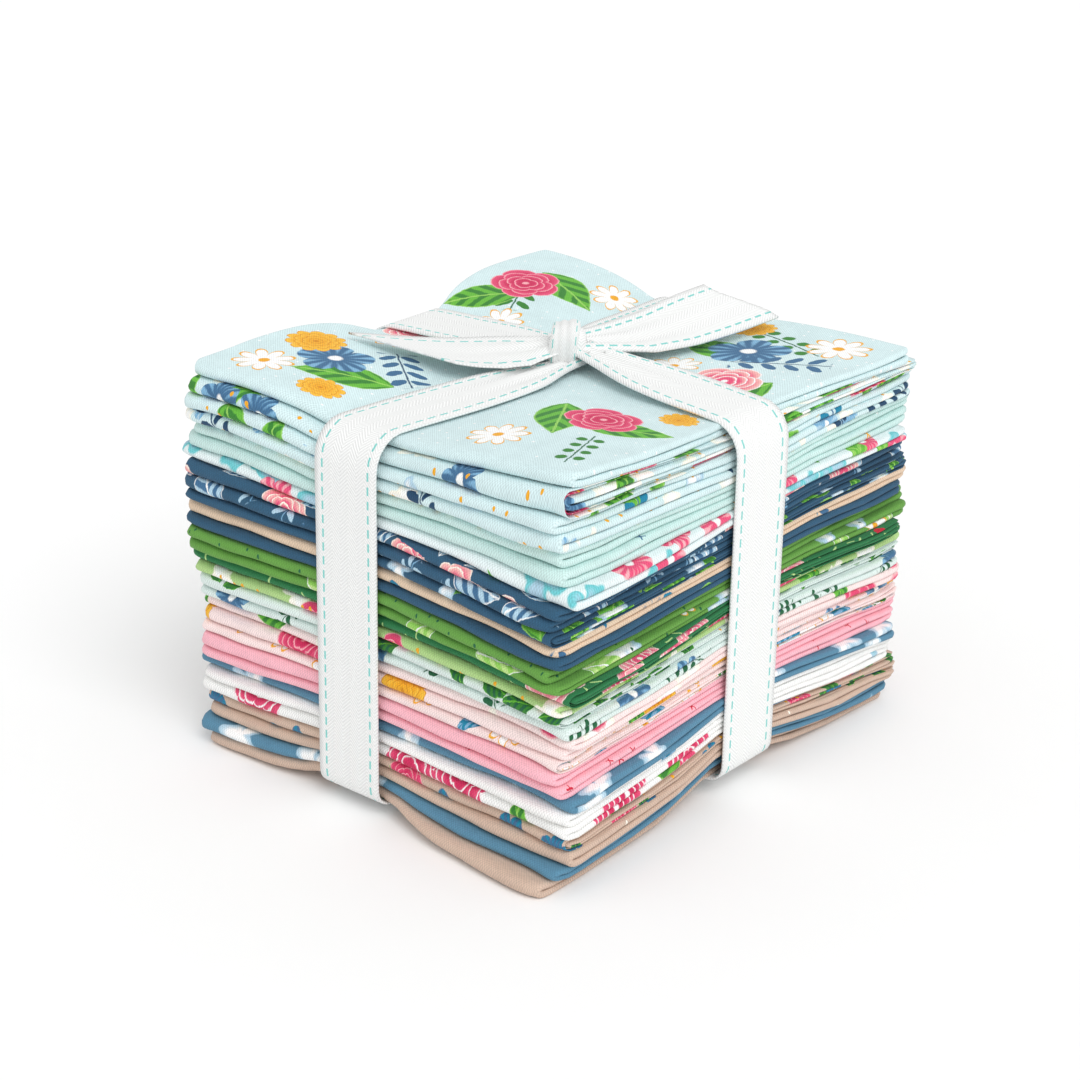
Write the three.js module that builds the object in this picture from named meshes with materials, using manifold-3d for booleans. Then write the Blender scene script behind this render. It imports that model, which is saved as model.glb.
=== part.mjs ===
// Fat quarter bundle: thirty folded quilting cottons in a stack, tied both ways with a flat tape.
// Millimetres, +Z up. X runs along the face of rounded lips, Y from the lips to the tucked edges.
// The origin is the middle of the underside of the bundle's box.

import * as THREE from "three";
import { mergeVertices } from "three/addons/utils/BufferGeometryUtils.js";
import Module from "manifold-3d";

// One folded cloth: 533 x 457 mm folded in quarters along X and in thirds along Y.
const FOLD_WIDTH = 135;
const FOLD_DEPTH = 150;
const LAYER = 1.0; // four plies pressed flat
const LAYER_GAP = 0.2; // between the three layers of one cloth
const CLOTH_GAP = 0.36; // between one cloth and the next
const LIP = 2.6; // how far the rounded front turn reaches along Y
const BACK_TURN = 1.6; // the same for the smaller turn at the back
const TUCK_GAP = 0.6; // from the tucked edge to the inside of the front turn
const TUCK_INSET = 2.2; // the tucked layer stands in at both sides
const TOP_EDGE_INSET = 1.5; // the top layer's free edge stops short of the back
const FRONT_TURN_STEPS = [45, 90, 135]; // degrees round the front turn
const BACK_TURN_STEPS = [60, 120];

// The stack as tied: the tape pulls the middles of the sides in, the corners flare.
const TIE_X = -6.7; // middle of the tape that runs along Y
const TIE_Y = 4.8; // middle of the tape that runs along X
const PRESSED_HALF = 13.5; // half the width of the pressed strip under a tape
// How far a tape pulls the top down or the bottom up: at the middle of the front and back edges (alongX),
// at the middle of the left and right edges (alongY), and where the tapes cross.
const TOP_PINCH = { alongX: 5.7, alongY: 5.7, centre: 5.0 };
const BOTTOM_PINCH = { alongX: 4.6, alongY: 7.0, centre: 3.9 };
// The four quarters of the top (x and y give the side): how far the corner hangs below the stack's
// height, and how far the cloth domes up along its two edges between the corner and the tapes.
const TOP_CORNERS = [
  { x: -1, y: -1, drop: 0, dome: { alongX: 3.0, alongY: 5.2 } },
  { x: 1, y: -1, drop: -1.6, dome: { alongX: 0.6, alongY: 0.6 } },
  { x: 1, y: 1, drop: 4.2, dome: { alongX: 1.2, alongY: 1.2 } },
  { x: -1, y: 1, drop: 0, dome: { alongX: 0.6, alongY: 4.4 } },
];
const LEVEL_CORNER = { drop: 0 };
const FOOT_SAG = 0.6; // share of the pull by which the underside sags back to the surface near the corners
const SWELL_CLOTHS = 6; // cloths at the top that share the domes, and at the bottom that share the sag
const SWELL_SHARES = [0.35, 0.75]; // where both are shaped, from a corner (0) in to the tape (1)
const SIDE_PRESS = 1.0; // how far the tape presses the sides in
const EDGE_PRESS = { top: 5.0, bottom: 2.6 }; // more at the last cloths, where the tape turns
const EDGE_PRESS_CLOTHS = 3; // cloths over which that fades
const PRESS_FADE = 3; // how quickly the press fades from the tape to the corner
const SHIFT_LEFT_UNDER_TAPE = 0.25; // share of a cloth's own shift that the tape leaves
const LEAN = { x: 1.0, y: 3.2 }; // how far the top has slid over the bottom
const SLOPE = 0.35; // uneven lie of one cloth on the next, at the corners
const SLOPE_STEP = { x: 2.1, y: 3.4 }; // turns that uneven lie from cloth to cloth
// The front right corner, where the upper cloths are fuller and press on those below: how far the sheet
// under a cloth (level, from the bottom) has sunk there. It fades to the tape along X and to SUNK_END along Y.
const SUNK_CORNER = [
  { level: 8, drop: 0 },
  { level: 23, drop: 8.5 },
  { level: 28, drop: 4.0 },
  { level: 29, drop: 0.6 },
  { level: 30, drop: 0 },
];
const SUNK_END = 34;

// The cloths from the top down. left, right, front and back: how far an edge's corners stand to +X or +Y.
// swing, where there is one: how much more the front edge stands to +Y at its right end, and less at its left.
const CLOTHS = [
  { cloth: "aqua_bouquet", colour: 0xcfe6e8, left: -2.0, right: 0.0, front: 2.0, back: 0.0 },
  { cloth: "aqua_posy", colour: 0xc9e3e6, left: -1.5, right: 0.0, front: -0.5, back: 4.0 },
  { cloth: "aqua_leaf", colour: 0xc5e2e2, left: -1.5, right: -2.0, front: -2.0, back: 5.5 },
  { cloth: "aqua_spray", colour: 0xcde5e6, left: -2.5, right: -1.0, front: -1.5, back: 3.5 },
  { cloth: "mint_plain", colour: 0xc3e4dc, left: -0.5, right: -2.0, front: 0.5, back: 4.0 },
  { cloth: "mint_cross", colour: 0xbfe3dc, left: -3.0, right: -0.5, front: 0.0, back: 2.0 },
  { cloth: "mist_blossom", colour: 0xdfeeee, left: -6.0, right: 2.5, front: 0.0, back: -2.5 },
  { cloth: "navy_rose", colour: 0x2d4a68, left: -2.0, right: -0.5, front: -2.0, back: 0.5 },
  { cloth: "navy_fern", colour: 0x2f4f6d, left: -2.0, right: -2.5, front: -3.0, back: 4.5 },
  { cloth: "navy_garden", colour: 0x34506a, left: -1.5, right: -1.0, front: -3.0, back: 4.0 },
  { cloth: "sand_teal", colour: 0xe0c9b0, left: -2.0, right: -1.0, front: -1.5, back: 4.0 },
  { cloth: "navy_plain", colour: 0x2b4863, left: -2.5, right: 0.0, front: -2.5, back: 1.0 },
  { cloth: "leaf_green", colour: 0x6fa552, left: -1.0, right: -2.5, front: -3.0, back: 5.5 },
  { cloth: "leaf_posy", colour: 0x7fb162, left: -1.5, right: 0.0, front: -2.5, back: 4.0 },
  { cloth: "forest_rose", colour: 0x2f7a4c, left: -3.5, right: 2.5, front: 0.5, back: -1.5 },
  { cloth: "pear_posy", colour: 0xc5dca4, left: -1.0, right: -0.5, front: -0.5, back: 2.5 },
  { cloth: "frost_leaf", colour: 0xdcebe6, left: -0.5, right: -0.5, front: 0.0, back: 2.5 },
  { cloth: "frost_fern", colour: 0xd5e3df, left: -1.0, right: 1.0, front: 1.0, back: 0.5 },
  { cloth: "blush_peony", colour: 0xf4d9d6, left: -2.0, right: 1.5, front: 3.0, back: 0.5 },
  { cloth: "blush_garden", colour: 0xf2d2cd, left: -0.5, right: -1.0, front: 1.5, back: 4.0 },
  { cloth: "petal_outline", colour: 0xf6e0dd, left: -1.0, right: -1.0, front: 1.0, back: 4.5 },
  { cloth: "coral_plain", colour: 0xee9ca6, left: 0.0, right: -2.0, front: -0.5, back: 5.0 },
  { cloth: "coral_cross", colour: 0xf0a4ac, left: -0.5, right: -0.5, front: 0.0, back: 3.0 },
  { cloth: "dusk_patch", colour: 0x5f8ca8, left: -4.0, right: 2.5, front: 3.0, back: -1.0 },
  { cloth: "white_plain", colour: 0xf5f5f2, left: -1.0, right: 1.0, front: 1.0, back: -0.5 },
  { cloth: "white_peony", colour: 0xf2f2ee, left: -2.0, right: 1.0, front: 1.5, back: -0.5 },
  { cloth: "tan_garden", colour: 0xcfb9a8, left: -1.5, right: 1.0, front: 2.5, back: 3.0 },
  { cloth: "tan_plain", colour: 0xcdb6a4, left: 0.0, right: 1.5, front: 2.0, back: 2.0 },
  { cloth: "dusk_cloud", colour: 0x5b89a6, left: -1.0, right: 0.0, front: -0.5, back: 1.5 },
  { cloth: "tan_base", colour: 0xccb5a3, left: 1.5, right: -2.5, front: -2.5, back: 2.0, swing: -2.5 },
];

// The tape
const TAPE_WIDTH = 22;
const TAPE_THICKNESS = 1.0;
const TAPE_GAP = 0.4; // from the cloth to the tape
const TAPE_COLOUR = 0xf6f6f4;
const TOP_BEND = 9; // radius of the tape over the top edges
const BOTTOM_BEND = 5;
const BEND_STEPS = 5;
const KNOT = { x: 3, y: 1, lift: 6.8 }; // lift is over the cloth in the middle of the top
const KNOT_AXIS_DEG = 41; // the way the tails leave it
const KNOT_BODY = { along: 6.8, across: 5.6, tall: 5.6 }; // half sizes
const KNOT_WRAP = { along: 3.4, across: 6.3, tall: 6.4 };
const KNOT_SQUARENESS = 0.72; // 1 is a ball, less is squarer
const KNOT_FACETS = { round: 16, tall: 10 };
const KNOT_ENTRY = 1; // the bands enter this far under the knot's middle
const BAND_SAG = 0.8; // under 1 the bands fall away from the knot quickly at first
const GATHERED_HALF = 4.2; // half width of the tape where it enters the knot
const GATHER_LENGTH = { x: 36, y: 24 }; // over which the tape along each axis opens to its full width
const SKEW = 1.7; // the X tape stands this far to the front at +X and to the back at -X
const UNDER_CROSSING = 0.5; // the X tape runs this much lower where the two cross below

// The free ends of the tape and the lengths of their two edges; heading is in degrees from +X.
const TAILS = [
  { tail: "left", heading: 218, backEdge: 62, frontEdge: 30, backSide: -1 },
  { tail: "right", heading: 79, backEdge: 57, frontEdge: 65, backSide: 1 },
];
// How each free end lies: part of its length, height over the knot's middle, degrees that its back edge
// is tipped up, half width, and how far its middle is to the front of the heading.
const TAIL_LIE = {
  left: [
    { part: 0.0, rise: 0.0, tilt: 0, half: 5.0, side: 0.0 },
    { part: 0.15, rise: -0.8, tilt: 2, half: 7.0, side: 0.8 },
    { part: 0.32, rise: -1.6, tilt: 3, half: 10.0, side: 1.8 },
    { part: 0.55, rise: -2.0, tilt: 3, half: 11.0, side: 2.2 },
    { part: 0.78, rise: -1.8, tilt: 2, half: 11.0, side: 1.6 },
    { part: 1.0, rise: -1.4, tilt: 1, half: 11.0, side: 1.0 },
  ],
  right: [
    { part: 0.0, rise: 0.0, tilt: 2, half: 5.0, side: 0.0 },
    { part: 0.15, rise: -0.6, tilt: 6, half: 7.0, side: 1.0 },
    { part: 0.32, rise: -1.4, tilt: 9, half: 10.0, side: 2.4 },
    { part: 0.55, rise: -1.4, tilt: 11, half: 11.0, side: 3.0 },
    { part: 0.78, rise: -0.4, tilt: 16, half: 11.0, side: 2.8 },
    { part: 1.0, rise: 0.6, tilt: 19, half: 11.0, side: 2.5 },
  ],
};

const CLOTH_HEIGHT = 3 * LAYER + 2 * LAYER_GAP;
const PITCH = CLOTH_HEIGHT + CLOTH_GAP;
const STACK_HEIGHT = PITCH * CLOTHS.length;
const LAYER_PART = LAYER / CLOTH_HEIGHT;
const GAP_PART = LAYER_GAP / CLOTH_HEIGHT;
const HALF_WIDTH = FOLD_WIDTH / 2;
const HALF_DEPTH = FOLD_DEPTH / 2;
const SAME_POINT = 1e-4; // points closer than this are one
const CLOTH_FINISH = { roughness: 0.9, metalness: 0 };

const radians = (degrees) => (degrees * Math.PI) / 180;

// How far a place lies from the outer edge (0) in to the pressed strip (1), along one axis.
function inward(place, tie, half) {
  const off = place - tie;
  if (Math.abs(off) <= PRESSED_HALF) return 1;
  const reach = off > 0 ? half - tie - PRESSED_HALF : half + tie - PRESSED_HALF;
  return Math.max(0, 1 - (Math.abs(off) - PRESSED_HALF) / reach);
}

const inwardX = (x) => inward(x, TIE_X, HALF_WIDTH);
const inwardY = (y) => inward(y, TIE_Y, HALF_DEPTH);

// The place on an axis at a given inward share, on the side that sign gives.
function placeAt(share, sign, tie, half) {
  return sign * half + share * (tie + sign * PRESSED_HALF - sign * half);
}

// A measure that is given for the edges along X and along Y, at the inward shares along both.
const byEdge = (measure, inX, inY) => THREE.MathUtils.lerp(measure.alongY, measure.alongX, (1 + inX - inY) / 2);

// How far the tape has pulled the surface in: nothing at a corner, most at the middle of a side.
function pinch(inX, inY, pull, corner = LEVEL_CORNER) {
  const most = Math.max(inX, inY);
  const least = Math.min(inX, inY);
  const side = byEdge(pull, inX, inY);
  return corner.drop * (1 - most) + side * most + (pull.centre - side) * least;
}

const cornerNear = (x, y) => TOP_CORNERS.find((c) => c.x * (x - TIE_X) >= 0 && c.y * (y - TIE_Y) >= 0);
const topAt = (inX, inY, corner) => STACK_HEIGHT - pinch(inX, inY, TOP_PINCH, corner);

// A swelling from a corner (share 0) in to the tape (share 1), full two thirds of the way in.
const swelling = (share) => 1.5 * Math.sqrt(3) * share * Math.sqrt(1 - share);

// How much of a dome or of the sag there is, so many cloths away from the top or the bottom.
const swellPart = (cloths) => Math.max(0, 1 - cloths / SWELL_CLOTHS);
const domePart = (level) => swellPart(CLOTHS.length - level);

// The underside, which rests flat on the surface at the four corners.
function bottomAt(inX, inY, level = 0) {
  const sag = FOOT_SAG * byEdge(BOTTOM_PINCH, inX, inY) * swelling(Math.max(inX, inY)) * swellPart(level);
  return Math.max(0, pinch(inX, inY, BOTTOM_PINCH) - sag);
}

// How far the sheet under cloth number `level` has sunk towards the front right corner.
function sunkAt(level, place) {
  const start = TIE_X + PRESSED_HALF;
  const across = Math.max(0, (place.x - start) / (HALF_WIDTH - start));
  const along = Math.max(0, (SUNK_END - place.y) / (SUNK_END + HALF_DEPTH));
  const next = SUNK_CORNER.findIndex((row) => row.level >= level);
  if (next <= 0) return 0;
  const [below, above] = [SUNK_CORNER[next - 1], SUNK_CORNER[next]];
  return THREE.MathUtils.mapLinear(level, below.level, above.level, below.drop, above.drop) * across * along;
}

// The height of the sheet that parts cloth number `level` (from the bottom) from the one below it.
function levelAt(level, place) {
  const share = level / CLOTHS.length;
  const bottom = bottomAt(place.inX, place.inY, level);
  const fade = Math.min(1, level, CLOTHS.length - level);
  const slope =
    (SLOPE * Math.sin(SLOPE_STEP.x * level) * place.x) / FOLD_WIDTH +
    (SLOPE * Math.sin(SLOPE_STEP.y * level) * place.y) / FOLD_DEPTH;
  const corner = cornerNear(place.x, place.y);
  const top = topAt(place.inX, place.inY, corner);
  const rise = swelling(Math.max(place.inX, place.inY)) * (1 - Math.min(place.inX, place.inY));
  const dome = byEdge(corner.dome, place.inX, place.inY) * rise * domePart(level);
  return bottom + share * (top - bottom) + fade * slope + dome - sunkAt(level, place);
}

// How far the tape presses cloth number `level` in at the sides.
function pressAt(level) {
  const fromTop = CLOTHS.length - 1 - level;
  const fade = (count) => Math.max(0, 1 - count / EDGE_PRESS_CLOTHS) ** 2;
  return SIDE_PRESS + EDGE_PRESS.top * fade(fromTop) + EDGE_PRESS.bottom * fade(level);
}

// A closed sheet from its two faces, each a grid of points by row and column.
// inRow and inColumn give each row's and column's inward share, so that every
// cloth is cut along the same diagonals and none dips into the next.
function sheetSolid(outer, inner, inRow = [], inColumn = []) {
  const rows = outer.length;
  const columns = outer[0].length;
  const points = [];
  for (const face of [outer, inner]) {
    for (const row of face) {
      for (const p of row) points.push(p.x, p.y, p.z);
    }
  }
  const at = (face, k, j) => face * rows * columns + k * columns + j;
  const index = [];
  const quad = (a, b, c, d, turned) => {
    if (turned) index.push(a, b, d, b, c, d);
    else index.push(a, b, c, a, c, d);
  };
  for (let k = 0; k < rows - 1; k += 1) {
    for (let j = 0; j < columns - 1; j += 1) {
      const rise = ((inRow[k + 1] ?? 0) - (inRow[k] ?? 0)) * ((inColumn[j + 1] ?? 0) - (inColumn[j] ?? 0));
      const turned = rise < 0;
      quad(at(0, k, j), at(0, k, j + 1), at(0, k + 1, j + 1), at(0, k + 1, j), turned);
      quad(at(1, k, j), at(1, k + 1, j), at(1, k + 1, j + 1), at(1, k, j + 1), turned);
    }
    const last = columns - 1;
    quad(at(0, k, 0), at(0, k + 1, 0), at(1, k + 1, 0), at(1, k, 0), false);
    quad(at(0, k, last), at(1, k, last), at(1, k + 1, last), at(0, k + 1, last), false);
  }
  for (let j = 0; j < columns - 1; j += 1) {
    const end = rows - 1;
    quad(at(0, 0, j), at(1, 0, j), at(1, 0, j + 1), at(0, 0, j + 1), false);
    quad(at(0, end, j), at(0, end, j + 1), at(1, end, j + 1), at(1, end, j), false);
  }
  return facingOut(points, index);
}

function facingOut(points, index) {
  const geometry = new THREE.BufferGeometry();
  geometry.setAttribute("position", new THREE.Float32BufferAttribute(points, 3));
  geometry.setIndex(index);
  if (signedVolume(geometry) < 0) {
    for (let i = 0; i < index.length; i += 3) [index[i + 1], index[i + 2]] = [index[i + 2], index[i + 1]];
    geometry.setIndex(index);
  }
  return geometry;
}

function signedVolume(geometry) {
  const place = geometry.getAttribute("position");
  const corner = [new THREE.Vector3(), new THREE.Vector3(), new THREE.Vector3()];
  let sum = 0;
  for (let i = 0; i < geometry.index.count; i += 3) {
    corner.forEach((p, n) => p.fromBufferAttribute(place, geometry.index.getX(i + n)));
    sum += corner[0].dot(corner[1].clone().cross(corner[2])) / 6;
  }
  return sum;
}

// Rows or columns between the two edges, from the low side to the high side: the edges of the pressed
// strip, and one more on either side at each inward share given.
function innerPlaces(tie, half, shares) {
  const low = shares.map((share) => placeAt(share, -1, tie, half));
  const high = shares.map((share) => placeAt(share, 1, tie, half));
  return [...low, tie - PRESSED_HALF, tie + PRESSED_HALF, ...high.reverse()];
}

const sharesOf = (level) => (domePart(level + 1) + swellPart(level) > 0 ? SWELL_SHARES : []);

// The section of one folded cloth: the top layer from its free edge at the back to the front turn,
// the bottom layer to the back turn, and the tucked middle layer. Each station says where along Y it is
// (an edge and the distance in from it, or a plain place), the height of its outer and inner face as a
// share of the cloth's height, the reach of both faces, and how far it stands in at the sides.
function foldStations(places) {
  const away = [...places].reverse();
  const tucked = 2 * LAYER_PART + GAP_PART;
  const layer = (row, outer, inner, sideInset = 0) => ({ ...row, outer, inner, sideInset });
  const edge = (name, inset) => ({ edge: name, outerInset: inset, innerInset: inset });
  const stations = [layer(edge("back", TOP_EDGE_INSET), 1, 1 - LAYER_PART)];
  for (const place of away) stations.push(layer({ place }, 1, 1 - LAYER_PART));
  stations.push(layer(edge("front", LIP), 1, 1 - LAYER_PART));
  for (const step of FRONT_TURN_STEPS) {
    const turn = radians(step);
    stations.push({
      edge: "front",
      outerInset: LIP * (1 - Math.sin(turn)),
      innerInset: LIP - (LIP - LAYER) * Math.sin(turn),
      outer: 0.5 + 0.5 * Math.cos(turn),
      inner: 0.5 + (0.5 - LAYER_PART) * Math.cos(turn),
      sideInset: 0,
    });
  }
  stations.push(layer(edge("front", LIP), 0, LAYER_PART));
  for (const place of places) stations.push(layer({ place }, 0, LAYER_PART));
  stations.push(layer(edge("back", BACK_TURN), 0, LAYER_PART));
  for (const step of BACK_TURN_STEPS) {
    const turn = radians(step);
    stations.push({
      edge: "back",
      outerInset: BACK_TURN * (1 - Math.sin(turn)),
      innerInset: BACK_TURN - (BACK_TURN - LAYER) * Math.sin(turn),
      outer: (tucked / 2) * (1 - Math.cos(turn)),
      inner: tucked / 2 - (GAP_PART / 2) * Math.cos(turn),
      sideInset: (TUCK_INSET * step) / 180,
    });
  }
  stations.push(layer(edge("back", BACK_TURN), tucked, LAYER_PART + GAP_PART, TUCK_INSET));
  for (const place of away) stations.push(layer({ place }, tucked, LAYER_PART + GAP_PART, TUCK_INSET));
  stations.push(layer(edge("front", LAYER + TUCK_GAP + LIP / 2), tucked, LAYER_PART + GAP_PART, TUCK_INSET));
  return stations;
}

// One folded cloth, number `level` from the bottom.
function foldedCloth(row, level) {
  const rowPlaces = innerPlaces(TIE_Y, HALF_DEPTH, sharesOf(level));
  const columnPlaces = innerPlaces(TIE_X, HALF_WIDTH, sharesOf(level));
  const press = pressAt(level);
  const columnCount = columnPlaces.length + 2;
  const columnIn = [0, ...columnPlaces.map(inwardX), 0];

  // The plan of the cloth: its own shifts at the corners, pressed in at the tapes.
  const easedEdge = (sign, half, shift, share) => {
    const held = sign * (half - press) + shift * SHIFT_LEFT_UNDER_TAPE;
    return THREE.MathUtils.lerp(sign * half + shift, held, share ** PRESS_FADE);
  };
  const sideX = (j, share) => {
    if (j === 0) return easedEdge(-1, HALF_WIDTH, row.left, share);
    if (j === columnCount - 1) return easedEdge(1, HALF_WIDTH, row.right, share);
    return columnPlaces[j - 1];
  };
  const edgeY = (name, share, x) => {
    if (name === "back") return easedEdge(1, HALF_DEPTH, row.back, share);
    return easedEdge(-1, HALF_DEPTH, row.front + (row.swing ?? 0) * Math.sign(x - TIE_X), share);
  };

  const heightAt = (place, share) => {
    const low = levelAt(level, place);
    const high = levelAt(level + 1, place) - CLOTH_GAP;
    return low + share * (high - low);
  };
  const facePoint = (station, j, face) => {
    const inX = columnIn[j];
    const inY = station.edge ? 0 : inwardY(station.place);
    const inset = station.sideInset * (j === 0 ? 1 : j === columnCount - 1 ? -1 : 0);
    const x = sideX(j, inY) + inset;
    const away = station.edge === "front" ? 1 : -1;
    const y = station.edge ? edgeY(station.edge, inX, x) + away * station[`${face}Inset`] : station.place;
    return new THREE.Vector3(x, y, heightAt({ inX, inY, x, y }, station[face]));
  };

  const stations = foldStations(rowPlaces);
  const faceGrid = (face) =>
    stations.map((station) => columnIn.map((_, j) => facePoint(station, j, face)));
  const rowIn = stations.map((station) => (station.edge ? 0 : inwardY(station.place)));
  return sheetSolid(faceGrid("outer"), faceGrid("inner"), rowIn, columnIn);
}

// A strip of tape along a line of stations: a point, the way its width runs, and half its width.
function tapeStrip(stations) {
  const outer = [];
  const inner = [];
  stations.forEach((station, k) => {
    const before = stations[Math.max(0, k - 1)].point;
    const after = stations[Math.min(stations.length - 1, k + 1)].point;
    const forward = after.clone().sub(before).normalize();
    const normal = station.across.clone().cross(forward).normalize().multiplyScalar(TAPE_THICKNESS / 2);
    const edges = [
      station.point.clone().addScaledVector(station.across, -station.half),
      station.point.clone().addScaledVector(station.across, station.half),
    ];
    outer.push(edges.map((p) => p.clone().add(normal)));
    inner.push(edges.map((p) => p.clone().sub(normal)));
  });
  return sheetSolid(outer, inner);
}

const centreTop = topAt(1, 1);
const knotMiddle = new THREE.Vector3(KNOT.x, KNOT.y, centreTop + KNOT.lift);

// One tape round the stack in the plane of `along` and Z: from the knot over one top edge, down,
// under the stack, up the other side and back to the knot.
function tapeRound(along, lowerBy) {
  const acrossY = along === "y";
  const half = acrossY ? HALF_DEPTH : HALF_WIDTH;
  const knotAlong = acrossY ? KNOT.y : KNOT.x;
  const knotAcross = acrossY ? KNOT.x : KNOT.y;
  const across = acrossY ? new THREE.Vector3(1, 0, 0) : new THREE.Vector3(0, 1, 0);
  const off = TAPE_GAP + TAPE_THICKNESS / 2;
  const point = (place, height, side) =>
    acrossY ? new THREE.Vector3(side, place, height) : new THREE.Vector3(place, side, height);

  // Stations of one half, from the knot to the middle of the underside.
  const halfRound = (sign) => {
    const tie = acrossY ? TIE_X : TIE_Y - sign * SKEW;
    const shifts = CLOTHS.map((row) => {
      if (acrossY) return sign < 0 ? -row.front : row.back;
      return sign < 0 ? -row.left : row.right;
    });
    const farthest = Math.max(...shifts) * SHIFT_LEFT_UNDER_TAPE;
    const face = half - SIDE_PRESS + farthest + off;
    const topZ = (acrossY ? topAt(1, 0) : topAt(0, 1)) + off;
    const lowZ = (acrossY ? bottomAt(1, 0) : bottomAt(0, 1)) - off - lowerBy;
    const underZ = bottomAt(1, 1) - off - lowerBy;
    const list = [];
    const add = (place, height, side, halfWidth) =>
      list.push({ point: point(place, height, side), across, half: halfWidth });
    const full = TAPE_WIDTH / 2;
    const bendStart = sign * (face - TOP_BEND);
    add(knotAlong, knotMiddle.z - KNOT_ENTRY, knotAcross, GATHERED_HALF);
    const openAt = knotAlong + sign * GATHER_LENGTH[along];
    const openPart = GATHER_LENGTH[along] / Math.abs(bendStart - knotAlong);
    const openZ = THREE.MathUtils.lerp(knotMiddle.z - KNOT_ENTRY, topZ, openPart ** BAND_SAG);
    add(openAt, openZ, THREE.MathUtils.lerp(knotAcross, tie, openPart), full);
    for (let step = 0; step <= BEND_STEPS; step += 1) {
      const turn = (Math.PI / 2) * (step / BEND_STEPS);
      add(bendStart + sign * TOP_BEND * Math.sin(turn), topZ - TOP_BEND * (1 - Math.cos(turn)), tie, full);
    }
    for (let step = 0; step <= BEND_STEPS; step += 1) {
      const turn = (Math.PI / 2) * (1 - step / BEND_STEPS);
      const inset = BOTTOM_BEND * (1 - Math.sin(turn));
      add(sign * (face - inset), lowZ + BOTTOM_BEND * (1 - Math.cos(turn)), tie, full);
    }
    const stripEdge = (acrossY ? TIE_Y : TIE_X) + sign * PRESSED_HALF;
    add(stripEdge, underZ, tie, full);
    return list;
  };
  const stations = [...halfRound(-1), ...halfRound(1).reverse()];
  return tapeStrip(stations);
}

// A free end of the tape, from inside the knot.
function tapeTail(tail) {
  const heading = radians(tail.heading);
  const forward = new THREE.Vector3(Math.cos(heading), Math.sin(heading), 0);
  const toBack = new THREE.Vector3(-forward.y, forward.x, 0).multiplyScalar(tail.backSide);
  const outer = [];
  const inner = [];
  for (const row of TAIL_LIE[tail.tail]) {
    const tilt = radians(row.tilt);
    const across = toBack.clone().multiplyScalar(Math.cos(tilt)).setZ(Math.sin(tilt));
    const middle = knotMiddle.clone().addScaledVector(toBack, -row.side);
    middle.z += row.rise;
    const normal = new THREE.Vector3().crossVectors(forward, across).normalize();
    normal.multiplyScalar((Math.sign(normal.z) * TAPE_THICKNESS) / 2);
    const edges = [
      middle.clone().addScaledVector(forward, row.part * tail.frontEdge).addScaledVector(across, -row.half),
      middle.clone().addScaledVector(forward, row.part * tail.backEdge).addScaledVector(across, row.half),
    ];
    outer.push(edges.map((p) => p.clone().add(normal)));
    inner.push(edges.map((p) => p.clone().sub(normal)));
  }
  return sheetSolid(outer, inner);
}

// A squared ball for the knot.
function knotLump(size) {
  const ball = new THREE.SphereGeometry(1, KNOT_FACETS.round, KNOT_FACETS.tall);
  const place = ball.getAttribute("position");
  const squared = (value) => Math.sign(value) * Math.abs(value) ** KNOT_SQUARENESS;
  for (let i = 0; i < place.count; i += 1) {
    place.setXYZ(
      i,
      size.along * squared(place.getX(i)),
      size.across * squared(place.getY(i)),
      size.tall * squared(place.getZ(i)),
    );
  }
  ball.rotateZ(radians(KNOT_AXIS_DEG));
  ball.translate(knotMiddle.x, knotMiddle.y, knotMiddle.z);
  ball.deleteAttribute("normal");
  ball.deleteAttribute("uv");
  return mergeVertices(ball, SAME_POINT);
}

const wasm = await Module();
wasm.setup();

function toManifold(geometry) {
  const mesh = new wasm.Mesh({
    numProp: 3,
    vertProperties: new Float32Array(geometry.getAttribute("position").array),
    triVerts: new Uint32Array(geometry.index.array),
  });
  return new wasm.Manifold(mesh);
}

// The tape is one length: both rounds, the knot and the two free ends are one solid.
function tiedTape() {
  const pieces = [
    tapeRound("y", 0),
    tapeRound("x", UNDER_CROSSING),
    knotLump(KNOT_BODY),
    knotLump(KNOT_WRAP),
    ...TAILS.map(tapeTail),
  ];
  const joined = wasm.Manifold.union(pieces.map(toManifold)).getMesh();
  const geometry = new THREE.BufferGeometry();
  geometry.setAttribute("position", new THREE.Float32BufferAttribute(joined.vertProperties, 3));
  geometry.setIndex([...joined.triVerts]);
  return geometry;
}

// The whole stack has slid a little as it went up.
function leaned(geometry) {
  const place = geometry.getAttribute("position");
  for (let i = 0; i < place.count; i += 1) {
    const share = place.getZ(i) / STACK_HEIGHT;
    place.setX(i, place.getX(i) + LEAN.x * share);
    place.setY(i, place.getY(i) + LEAN.y * share);
  }
  return geometry;
}

function pieceMesh(name, geometry, colour) {
  const material = new THREE.MeshStandardMaterial({ color: colour, ...CLOTH_FINISH });
  const mesh = new THREE.Mesh(leaned(geometry), material);
  mesh.name = name;
  return mesh;
}

const bundle = new THREE.Group();
bundle.name = "fat_quarter_bundle";
CLOTHS.forEach((row, fromTop) => {
  const number = String(fromTop + 1).padStart(2, "0");
  const level = CLOTHS.length - 1 - fromTop;
  bundle.add(pieceMesh(`quarter_${number}_${row.cloth}`, foldedCloth(row, level), row.colour));
});
bundle.add(pieceMesh("ribbon", tiedTape(), TAPE_COLOUR));

// The origin goes to the middle of the underside of the bundle's box.
const box = new THREE.Box3().setFromObject(bundle);
const middle = box.getCenter(new THREE.Vector3());
for (const mesh of bundle.children) mesh.geometry.translate(-middle.x, -middle.y, -box.min.z);

export default bundle;
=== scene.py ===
"""A bundle of thirty folded fat quarters tied both ways with white twill tape.

Every fat quarter is one sheet of cotton with all its folds, laid between the levels of the tied stack that
its CAD node lies between. The tape is one length of twill with its two rounds, its knot and its free ends.
"""

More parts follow.
